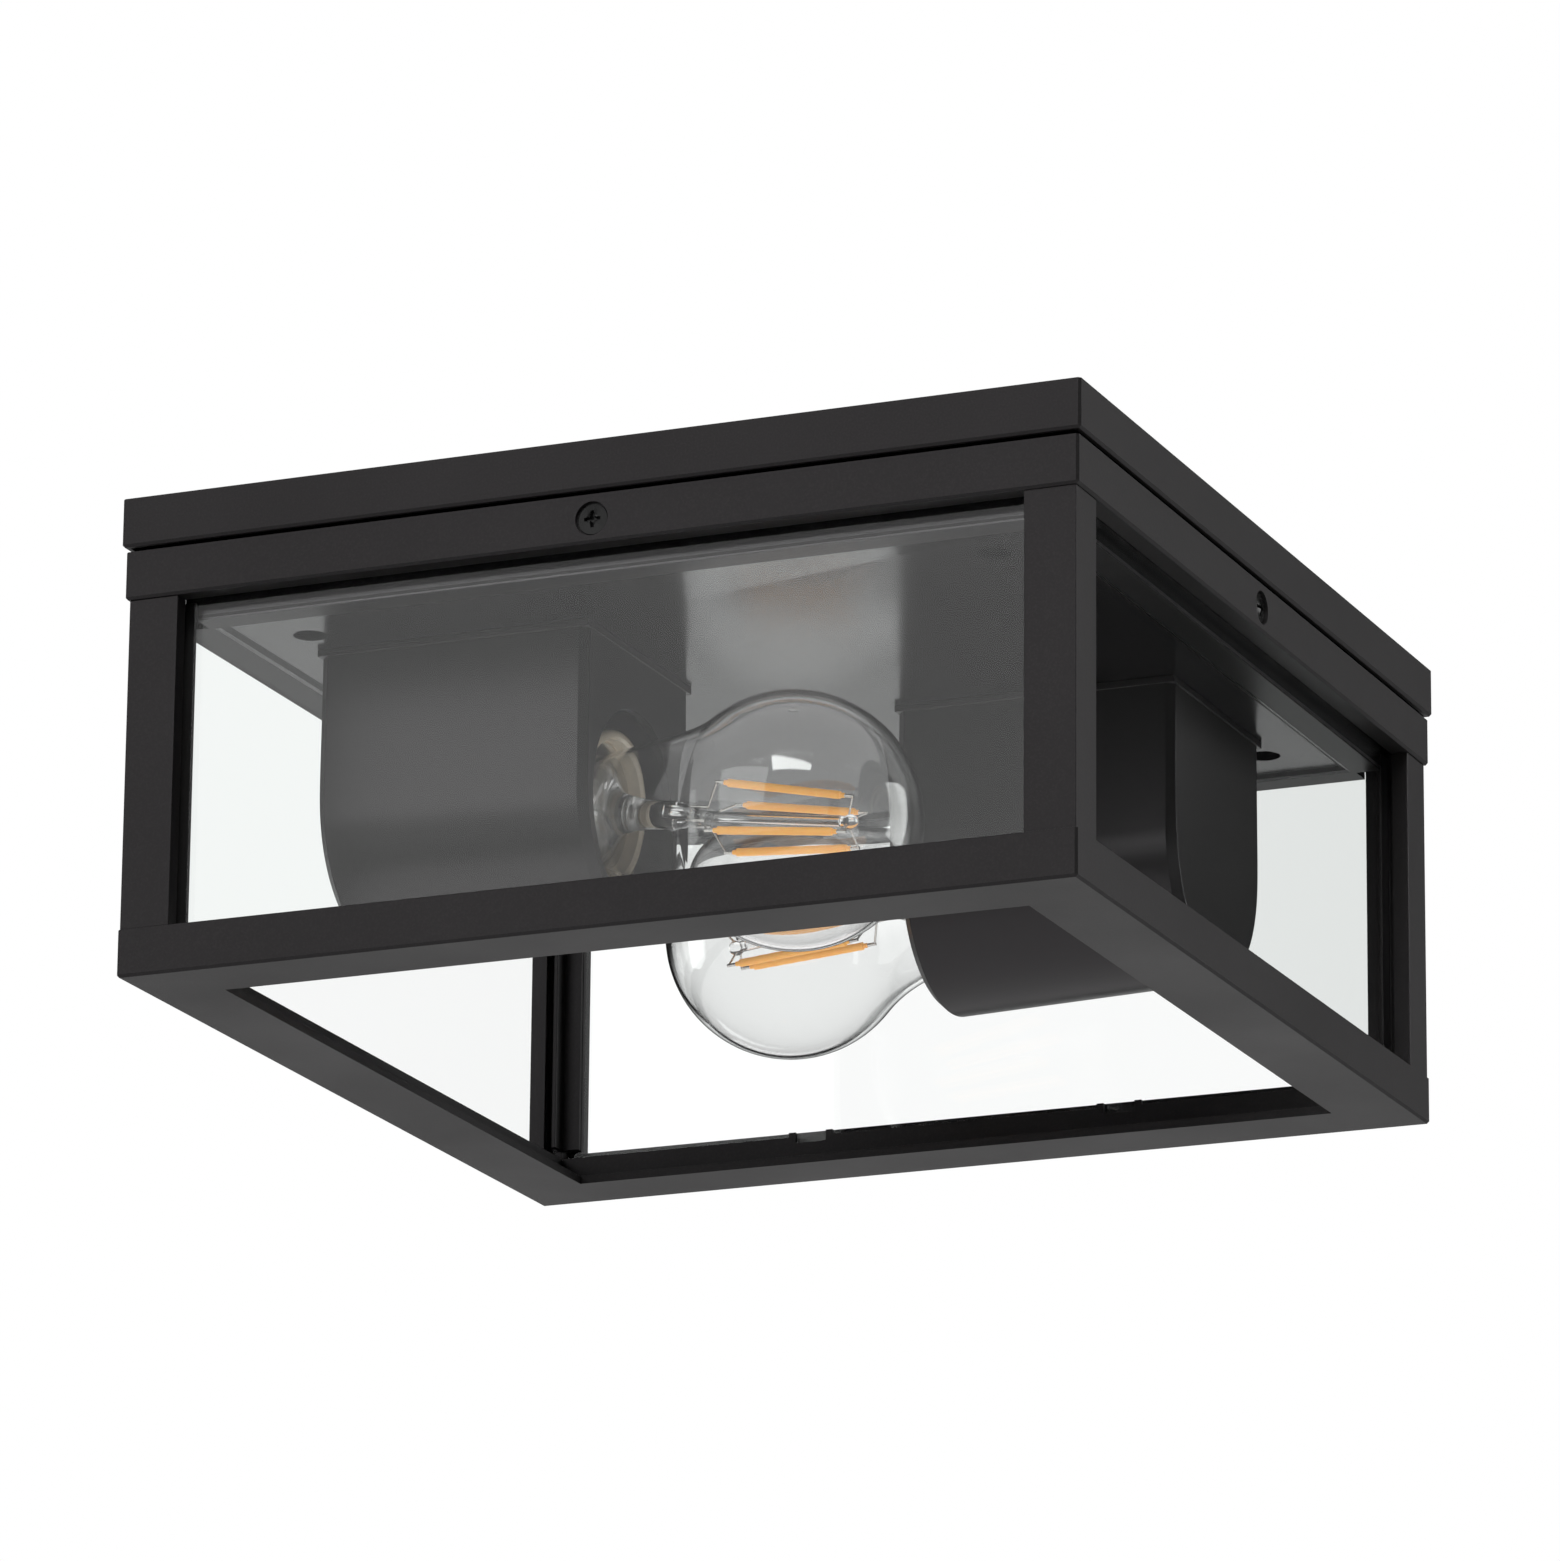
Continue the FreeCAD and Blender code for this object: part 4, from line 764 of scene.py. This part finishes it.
@dataclass
class FrameScrews:
    """The four screws, one in the middle of each side."""

    head: float = 3.7
    brim: tuple[Point, ...] = ((0.3, -0.12), (0.1, 0.0), (0.0, 0.0))
    crown: float = 4.2
    crown_from: float = 0.35
    rim: float = 0.9
    shank: float = 1.8
    length: float = 10.5
    tip: float = 0.2
    tip_taper: float = 0.3
    arm_length: float = 2.0
    arm_width: float = 0.42
    sink: float = 1.3
    clear: float = 1.0

    def build(self) -> None:
        """Build all four as one piece, as they lie in the CAD."""
        whole = Workpiece()
        low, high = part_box("frame_screws")
        face = high.x / MM
        drop = Matrix.Translation((0, 0, (low.z + high.z) / 2 / MM))
        for side in Side:
            turn = Matrix.Rotation(math.radians(side.value), 4, "Z")
            whole.add(self.screw(face).move(drop @ turn))
        whole.finished("frame_screws_cross", SCREW_BLACK, FIXED, ["frame_screws"])

    def screw(self, face: float) -> Workpiece:
        """Make one screw along X.

        Args:
            face: Where the top of its head is along X.

        Returns:
            The screw.
        """
        seat, end = face - self.rim, face - self.length
        dome = arc((face - self.crown, 0.0), self.crown, 0.0, 40.0, 5)
        outline = [(along, radius) for along, radius in dome if along > seat + self.crown_from]
        outline += shifted(self.brim, seat, self.head)
        outline += [(seat, self.shank), (end, self.shank), (end - self.tip, self.shank - self.tip_taper),
                    (end - self.tip, 0.0)]
        return self.with_recess(Workpiece().turned(outline, steps=48), face)

    def with_recess(self, piece: Workpiece, face: float) -> Workpiece:
        """Cut the cross recess into the head.

        Args:
            piece: The turned screw.
            face: Where the top of its head is along X.

        Returns:
            The finished screw.
        """
        deep, high = face - self.sink, face + self.clear
        long, wide = self.arm_length, self.arm_width
        cross = Workpiece().block((deep, -long, -wide), (high, long, wide))
        cross = cross.joined_with(Workpiece().block((deep, -wide, -long), (high, wide, long)), "UNION")
        return piece.joined_with(cross, "DIFFERENCE")


@dataclass
class LampHousing:
    """Rounded trough over a lampholder, its slight collar, and the steel bracket inside it."""

    edge: float = 0.3
    bracket_edge: float = 0.15
    mouth: float = -20.0
    closed_end: float = -88.0
    middle: float = -44.6
    half: float = 29.2
    collar: float = 0.4

    def build(self, lamp: Lamp) -> None:
        """Build one lamp's housing and bracket.

        Args:
            lamp: The lamp.
        """
        housing, bracket = f"lamp_housing_{lamp.number}", f"holder_bracket_{lamp.number}"
        piece = Workpiece.copy_of(housing).move(lamp.turn)
        reach = self.half + self.collar
        for vertex in piece.mesh.verts:
            place = vertex.co
            place.x = min(max(place.x, self.closed_end - self.collar), self.mouth + self.collar)
            place.y = self.middle + min(max(place.y - self.middle, -reach), reach)
        piece.move(lamp.turn).eased(self.edge, segments=3).finished(
            f"{housing}_coated", HOUSING_COAT, FIXED, [housing])
        Workpiece.copy_of(bracket).eased(self.bracket_edge, segments=1).finished(
            f"{bracket}_folded", ZINC, FIXED, [bracket])


# ---- lamps
@dataclass
class LampAxis:
    """Where a lamp's axis leaves its housing, and how it falls."""

    mouth: Place = (-20.0, -44.6, -66.0)
    fall: float = 8.0

    def matrix(self, lamp: Lamp) -> Matrix:
        """Return the matrix from the lamp's own axis, along +X from the mouth, to its place."""
        return lamp.turn @ Matrix.Translation(self.mouth) @ Matrix.Rotation(math.radians(self.fall), 4, "Y")


@dataclass
class Lampholder:
    """Glazed holder with its sleeve and centre contact."""

    setback: float = 6.0
    length: float = 41.0
    collar: float = 19.4
    collar_roll: float = 1.2
    collar_end: float = 7.0
    barrel: float = 17.6
    shoulder: tuple[Point, ...] = ((-8.6, 0.25), (-9.6, 0.0))
    back_round: float = 3.0
    back_straight: float = 3.4
    floor: float = 7.0
    lip: float = 3.4
    lip_edge: float = 0.6
    sleeve: float = 13.3
    sleeve_wall: float = 0.4
    sleeve_play: float = 0.02
    sleeve_front: float = 0.3
    sleeve_back: float = 2.0
    sleeve_rows: int = 44
    flange: float = 2.9
    flange_play: float = 0.15
    bore_play: float = 0.1
    seat_play: float = 0.2
    contact_edge: float = 0.12
    cap_front: float = -9.6
    cap_back: float = -31.6

    def build(self, lamp: Lamp, axis: LampAxis) -> None:
        """Build one lamp's holder.

        Args:
            lamp: The lamp.
            axis: The axis that it lies on.
        """
        number, place = lamp.number, axis.matrix(lamp)
        self.body().move(place).finished(
            f"lampholder_{number}_glazed", GLAZE, FIXED, [f"lampholder_{number}"])
        self.threaded().move(place).finished(
            f"thread_sleeve_{number}_rolled", NICKEL, FIXED, [f"thread_sleeve_{number}"])
        Workpiece.copy_of(f"centre_contact_{number}").eased(self.contact_edge, segments=1).finished(
            f"centre_contact_{number}_strip", BRASS, FIXED, [f"centre_contact_{number}"])

    def body(self) -> Workpiece:
        """Make the glazed body with its rolled front edge.

        Returns:
            The body.
        """
        front, back = -self.setback, -self.setback - self.length
        outside, seat = self.sleeve + self.sleeve_wall, self.cap_front - self.seat_play
        bore, lip = outside + self.bore_play, outside + self.lip
        outline = arc((front - self.collar_roll, self.collar - self.collar_roll), self.collar_roll,
                      0.0, 90.0, 5)
        outline += [(front - self.collar_end, self.collar), *shifted(self.shoulder, front, self.barrel)]
        outline += [(back + self.back_straight, self.barrel)]
        outline += arc((back + self.back_round, self.barrel - self.back_round), self.back_round,
                       90.0, 180.0, 4)
        outline += [(back, 0.0), (back + self.floor, 0.0), (back + self.floor, bore), (seat, bore),
                    (seat, lip), (front - self.lip_edge, lip), (front, lip + self.lip_edge)]
        return Workpiece().turned(outline, steps=96, closed=True)

    def threaded(self) -> Workpiece:
        """Make the sleeve, a plain tube with its flange forward.

        Returns:
            The sleeve.
        """
        front, back = self.cap_front + self.sleeve_front, self.cap_back - self.sleeve_back
        inner, rows = self.sleeve + self.sleeve_play, self.sleeve_rows
        inside = [(front + (back - front) * row / rows, inner) for row in range(rows + 1)]
        outside = [(along, inner + self.sleeve_wall - 2 * self.sleeve_play)
                   for along, _ in reversed(inside[1:])]
        behind = self.cap_front - self.flange_play
        flange = [(behind, self.sleeve + self.sleeve_wall - self.sleeve_play),
                  (behind, self.sleeve + self.flange), (front, self.sleeve + self.flange)]
        return Workpiece().turned(inside + outside + flange, closed=True)


@dataclass
class Bulb:
    """Clear filament bulb: blown globe, screw cap, stem and four amber filaments."""

    reach: float = 39.9
    radius: float = 30.0
    throat: float = 34.0
    neck: float = 12.9
    slope: float = 0.3
    wall: float = 0.9
    smooth_below: float = 50.0
    cap_front: float = -9.6
    cap_back: float = -31.6
    cap_radius: float = 13.2
    cap_edge: float = 0.5
    cap_rows: int = 72
    cap_shell: Point = (0.4, 0.9)
    cap_end: tuple[Point, ...] = ((0.1, -0.7), (-0.5, -1.7), (-0.8, -2.2))
    pitch: float = 3.63
    thread: float = 0.9
    thread_ends: Point = (3.0, 1.0)
    thread_play: float = 0.05
    thread_fade: float = 1.5
    insulator_outline: tuple[Point, ...] = (
        (-0.8, 0.0), (-0.8, 10.6), (-1.6, 10.2), (-3.6, 6.2), (-4.0, 5.4), (-4.0, 0.0))
    contact_outline: tuple[Point, ...] = (
        (0.0, 0.0), (0.0, 4.8), (-0.5, 4.6), (-1.0, 3.7), (-1.25, 2.2), (-1.3, 0.0))
    flare: tuple[Point, ...] = (
        (0.0, 0.0), (0.0, 11.4), (0.8, 11.6), (1.6, 11.2), (3.4, 8.0), (6.0, 5.0), (10.0, 3.9), (14.0, 3.4))
    press: float = -24.0
    press_waist: tuple[Point, ...] = ((-5.0, 3.4), (0.0, 1.5), (1.6, 1.5))
    press_low: Place = (-7.0, -4.3, -1.5)
    press_high: Place = (-0.6, 4.3, 1.5)
    press_edge: float = 0.7
    rod: float = 1.35
    rod_start: float = 2.2
    rod_end: float = 13.0
    rod_wall: float = 0.45
    hollow_start: Point = (3.0, 3.4)
    hollow_end: Point = (1.0, 1.4)
    tip_bead: float = 1.9
    tip_bead_at: float = 1.2
    filament_length: float = 30.0
    filament_radius: float = 1.0
    filament_setback: float = 1.5
    near: float = 6.4
    far: float = 8.6
    angles: tuple[int, ...] = (35, 125, 215, 305)
    strip: Point = (0.55, 0.6)
    strip_length: float = 0.9
    beads: int = 15
    bead_start: float = 0.2
    bead_high: float = 0.97
    bead_waist: float = 0.05
    wire: float = 0.26
    wire_sides: int = 8
    wire_lap: float = 0.3
    wire_root: float = 5.0
    tab: float = 0.42
    tab_length: float = 2.2
    tab_lap: float = 0.4
    root_joint: Point = (-21.5, 2.4)
    tip_joint: Point = (14.0, 1.8)

    def build(self, lamp: Lamp, axis: LampAxis) -> None:
        """Build one bulb in its holder.

        Args:
            lamp: The lamp.
            axis: The axis that it lies on.
        """
        for part, work, finish, node in (
                ("globe_blown", self.globe(), BULB_GLASS, "bulb_globe"),
                ("cap_rolled", self.cap(), CAP_METAL, "bulb_cap"),
                ("insulator_glazed", self.insulator(), DARK_GLASS, "bulb_insulator"),
                ("contact_soldered", self.contact(), CAP_METAL, "bulb_contact"),
                ("stem_pressed", self.stem(), BULB_GLASS, "bulb_stem"),
                ("filaments_coated", self.filaments(), AMBER, "bulb_filaments"),
                ("leads_bent", self.leads(), WIRE, "bulb_leads")):
            work.move(axis.matrix(lamp)).finished(
                f"bulb_{lamp.number}_{part}", finish, lamp.body, [f"{node}_{lamp.number}"],
                smooth_below=self.smooth_below, even=False)

    def globe(self) -> Workpiece:
        """Make the envelope: a globe that runs through a hollow curve into the neck.

        Returns:
            The envelope.
        """
        along = Vector((1.0, self.slope)).normalized()
        across = Vector((-along.y, along.x))
        corner = Vector((self.cap_front, self.neck))
        centre = Vector((self.reach, 0.0))
        offset = corner + across * self.throat - centre
        dot = offset.dot(along)
        run = -dot - math.sqrt(dot * dot - offset.length_squared + (self.radius + self.throat) ** 2)
        hollow = corner + across * self.throat + along * run
        towards = (hollow - centre).normalized()
        globe_end = math.degrees(math.atan2(towards.y, towards.x))
        hollow_start = globe_end - 180.0
        hollow_end = math.degrees(math.atan2(-across.y, -across.x))
        outline = arc(tuple(centre), self.radius, 0.0, globe_end, 44)
        outline += arc(tuple(hollow), self.throat, hollow_start, hollow_end, 14)[1:]
        outline.append(tuple(corner))
        piece = Workpiece().turned(outline, steps=96)
        bmesh.ops.solidify(piece.mesh, geom=piece.mesh.faces[:], thickness=self.wall)
        return piece

    def cap(self) -> Workpiece:
        """Make the cap with its rolled thread.

        Returns:
            The cap.
        """
        front, back, radius, rows = self.cap_front, self.cap_back, self.cap_radius, self.cap_rows
        start, short = self.cap_shell
        shell = [(front - start + (back + short - front) * row / rows, radius) for row in range(rows + 1)]
        end = shifted(self.cap_end, back, radius)
        outline = [(front, 0.0), (front, radius - self.cap_edge), *shell, *end, (end[-1][0], 0.0)]
        piece = Workpiece().turned(outline)
        first, last = front - self.thread_ends[0], back + self.thread_ends[1]
        for vertex in piece.mesh.verts:
            out = math.hypot(vertex.co.y, vertex.co.z)
            if out < radius - self.thread_play or not last < vertex.co.x < first:
                continue
            angle = math.atan2(vertex.co.z, vertex.co.y)
            wave = 0.5 - 0.5 * math.cos(math.tau * vertex.co.x / self.pitch - angle)
            inwards = min(first - vertex.co.x, vertex.co.x - last) / self.thread_fade
            shrink = 1 - self.thread * wave * min(1.0, inwards) / out
            vertex.co.y *= shrink
            vertex.co.z *= shrink
        return piece

    def insulator(self) -> Workpiece:
        """Return the dark cone between cap and contact."""
        return Workpiece().turned(shifted(self.insulator_outline, self.cap_back), steps=48)

    def contact(self) -> Workpiece:
        """Return the soldered end contact."""
        behind = self.cap_back + self.insulator_outline[-1][0]
        return Workpiece().turned(shifted(self.contact_outline, behind), steps=40)

    def stem(self) -> Workpiece:
        """Make the glass stem: flared foot, flat press, and the hollow rod up the middle.

        Returns:
            The stem.
        """
        press, tip, hollow = self.reach + self.press, self.reach + self.rod_end, self.rod - self.rod_wall
        outline = shifted(self.flare, self.cap_front) + shifted(self.press_waist, press)
        outline += [(press + self.rod_start, self.rod), (tip, self.rod)]
        outline += arc((tip + self.tip_bead_at, 0.0), self.tip_bead, 140.0, 0.0, 8)
        inside = [(tip - self.hollow_end[0], 0.0), (tip - self.hollow_end[1], hollow),
                  (press + self.hollow_start[1], hollow), (press + self.hollow_start[0], 0.0)]
        whole = Workpiece().turned(outline, steps=40)
        place = Vector((press, 0, 0))
        flat = Workpiece().block(place + Vector(self.press_low), place + Vector(self.press_high))
        bubble = Workpiece().turned(inside, steps=24)
        bmesh.ops.reverse_faces(bubble.mesh, faces=bubble.mesh.faces)
        return whole.joined_with(flat.eased(self.press_edge, segments=3), "UNION").add(bubble)

    def line(self, angle: int) -> tuple[Vector, Vector]:
        """Find a filament, which splays outwards towards the cap.

        Args:
            angle: Where it stands round the axis, in degrees.

        Returns:
            Its start and its end.
        """
        start = self.reach - self.filament_length / 2 - self.filament_setback
        radial = Vector((0.0, math.cos(math.radians(angle)), math.sin(math.radians(angle))))
        return (Vector((start, 0, 0)) + radial * self.far,
                Vector((start + self.filament_length, 0, 0)) + radial * self.near)

    def filaments(self) -> Workpiece:
        """Make the four sticks, each a beaded coat of silicone on its strip.

        Returns:
            The filaments.
        """
        whole = Workpiece()
        length, inset, (end, strip) = self.filament_length, self.strip_length, self.strip
        run = length - 2 * inset - 2 * self.bead_start
        outline = [(0.0, 0.0), (0.0, end), (inset, strip)]
        outline += [(inset + self.bead_start + run * row / self.beads,
                     self.filament_radius * (self.bead_high - self.bead_waist * (row % 2)))
                    for row in range(self.beads + 1)]
        outline += [(length - inset, strip), (length, end), (length, 0.0)]
        for angle in self.angles:
            start, finish = self.line(angle)
            turn = (finish - start).to_track_quat("X", "Z").to_matrix().to_4x4()
            whole.add(Workpiece().turned(outline, steps=16).move(Matrix.Translation(start) @ turn))
        return whole

    def leads(self) -> Workpiece:
        """Make the wires from the stem to both ends of each filament.

        Returns:
            The leads.
        """
        whole = Workpiece()
        for angle in self.angles:
            start, end = self.line(angle)
            outwards = (end - start).normalized()
            for outer, away, (along, out) in ((start, -outwards, self.root_joint),
                                              (end, outwards, self.tip_joint)):
                stub = outer + away * self.tab_length
                radial = Vector((0.0, stub.y, stub.z)).normalized()
                inner = Vector((self.reach + along, 0, 0)) + radial * out
                whole.bar(outer - away * self.tab_lap, stub, self.tab)
                whole.bar(stub - away * self.wire_lap, inner, self.wire, sides=self.wire_sides)
                if outer is start:
                    whole.bar(inner, inner - Vector((self.wire_root, 0, 0)), self.tab)
        return whole


# ---- light and camera
@dataclass(frozen=True)
class Softbox:
    """One rectangular soft light that faces the lantern, in metres."""

    name: str
    place: Place
    width: float
    height: float
    radiance: float
    target: Place = (0.0, 0.0, -0.06)

    def build(self) -> None:
        """Hang the light."""
        data = bpy.data.lights.new(self.name, "AREA")
        data.shape = "RECTANGLE"
        data.size, data.size_y = self.width, self.height
        data.energy = self.radiance * math.pi * self.width * self.height
        light = bpy.data.objects.new(self.name, data)
        bpy.context.scene.collection.objects.link(light)
        light.location = self.place
        light.rotation_mode = "QUATERNION"
        towards = Vector(self.target) - Vector(self.place)
        light.rotation_quaternion = towards.to_track_quat("-Z", "Y")


SOFTBOXES = (Softbox("front_softbox", (-1.2, -2.7, 0.75), 2.4, 1.9, 1.5),
             Softbox("key_softbox", (0.72, -1.9, 1.6), 1.44, 0.96, 9.0),
             Softbox("ceiling_softbox", (0.2, 0.3, 2.1), 3.2, 3.2, 1.6),
             Softbox("right_softbox", (2.1, 1.6, 0.3), 1.2, 1.6, 3.2),
             Softbox("low_softbox", (-1.25, 2.9, -1.0), 1.8, 1.4, 0.5),
             Softbox("left_softbox", (-2.6, -0.2, 0.1), 1.2, 1.6, 0.8))


@dataclass
class Studio:
    """Pale floor, soft lights, white surroundings and the camera, in metres."""

    floor_level: float = -1.25
    floor_size: float = 24.0
    floor_cloud: float = 400.0
    floor_light: Colour = (0.84, 0.84, 0.84, 1.0)
    floor_dark: Colour = (0.8, 0.8, 0.8, 1.0)
    floor_gloss: float = 0.7
    floor_seen: Colour = (0.94, 0.94, 0.94, 1.0)
    paleness: float = 0.8
    camera_place: Place = (0.79378, -1.85989, -0.64510)
    camera_right: Place = (0.92014, 0.39147, 0.00931)
    camera_up: Place = (0.102732, -0.264276, 0.958951)
    lens: float = 206.91
    film: float = 36.0
    clip: Point = (0.05, 50.0)
    dim: float = 0.16
    dark: float = 0.02
    sweep: float = 0.95
    sweep_low: float = -0.1
    sweep_high: float = 0.2

    def build(self) -> None:
        """Build everything that isn't the lantern."""
        self.floor()
        self.surroundings()
        for box in SOFTBOXES:
            box.build()
        self.camera()
        bpy.context.scene.view_settings.view_transform = "Standard"

    def floor(self) -> None:
        """Lay the plain pale floor, well below the hanging lantern."""
        sheet = bmesh.new()
        bmesh.ops.create_grid(sheet, x_segments=1, y_segments=1, size=self.floor_size / 2,
                              matrix=Matrix.Translation((0, 0, self.floor_level)))
        data = bpy.data.meshes.new("pale_floor")
        sheet.to_mesh(data)
        sheet.free()
        floor = bpy.data.objects.new("pale_floor", data)
        bpy.context.scene.collection.objects.link(floor)
        recipe = Recipe(bpy.data.materials.new("pale_floor_paint"))
        cloud = recipe.noise(self.floor_cloud, detail=3.0)
        shader = recipe.add("ShaderNodeBsdfPrincipled", {
            "Base Color": recipe.blend(cloud, self.floor_dark, self.floor_light),
            "Roughness": self.floor_gloss})
        path = recipe.add("ShaderNodeLightPath").outputs
        seen = recipe.sum("MAXIMUM", path["Is Camera Ray"], path["Is Transmission Ray"])
        pale = recipe.add("ShaderNodeEmission", {"Color": self.floor_seen})
        mixed = recipe.add("ShaderNodeMixShader", {
            0: recipe.between(seen, 0.0, self.paleness, 0.0, 1.0), 1: shader.outputs["BSDF"],
            2: pale.outputs["Emission"]})
        data.materials.append(recipe.surface(mixed.outputs["Shader"]))

    def surroundings(self) -> None:
        """Make the surroundings white where they are seen, and dim where they only give light."""
        world = bpy.data.worlds.new("surroundings")
        bpy.context.scene.world = world
        recipe = Recipe(world)
        path = recipe.add("ShaderNodeLightPath").outputs
        straight = recipe.sum("LESS_THAN", path["Glossy Depth"], 0.5)
        through = recipe.sum("MULTIPLY", path["Is Transmission Ray"], straight)
        seen = recipe.sum("MAXIMUM", path["Is Camera Ray"], through)
        ray = recipe.add("ShaderNodeTexCoord").outputs["Generated"]
        height = recipe.add("ShaderNodeMapRange", {
            "Value": recipe.add("ShaderNodeSeparateXYZ", {0: ray}).outputs["Z"],
            "From Min": self.sweep_low, "From Max": self.sweep_high, "To Min": self.sweep,
            "To Max": self.dark}, interpolation_type="SMOOTHSTEP")
        given = recipe.mix(path["Is Diffuse Ray"], height.outputs["Result"], self.dim)
        light = recipe.add("ShaderNodeBackground", {
            "Color": recipe.sum("MAXIMUM", given, seen), "Strength": 1.0})
        recipe.add("ShaderNodeOutputWorld", {"Surface": light.outputs["Background"]})

    def camera(self) -> None:
        """Set the camera below and in front, as the photograph was taken."""
        data = bpy.data.cameras.new("photograph")
        data.sensor_width = self.film
        data.lens = self.lens
        data.clip_start, data.clip_end = self.clip
        camera = bpy.data.objects.new("photograph", data)
        bpy.context.scene.collection.objects.link(camera)
        right, up = Vector(self.camera_right), Vector(self.camera_up)
        turn = Matrix((right, up, right.cross(up))).transposed().to_4x4()
        camera.matrix_world = Matrix.Translation(self.camera_place) @ turn
        bpy.context.scene.camera = camera


def main() -> None:
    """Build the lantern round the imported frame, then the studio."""
    logging.basicConfig(level=logging.INFO, format="%(name)s: %(message)s")
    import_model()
    Frame().build()
    Base().build()
    FrameScrews().build()
    axis = LampAxis()
    for lamp in Lamp:
        LampHousing().build(lamp)
        Lampholder().build(lamp, axis)
        Bulb().build(lamp, axis)
    Studio().build()


if __name__ == "__main__":
    main()
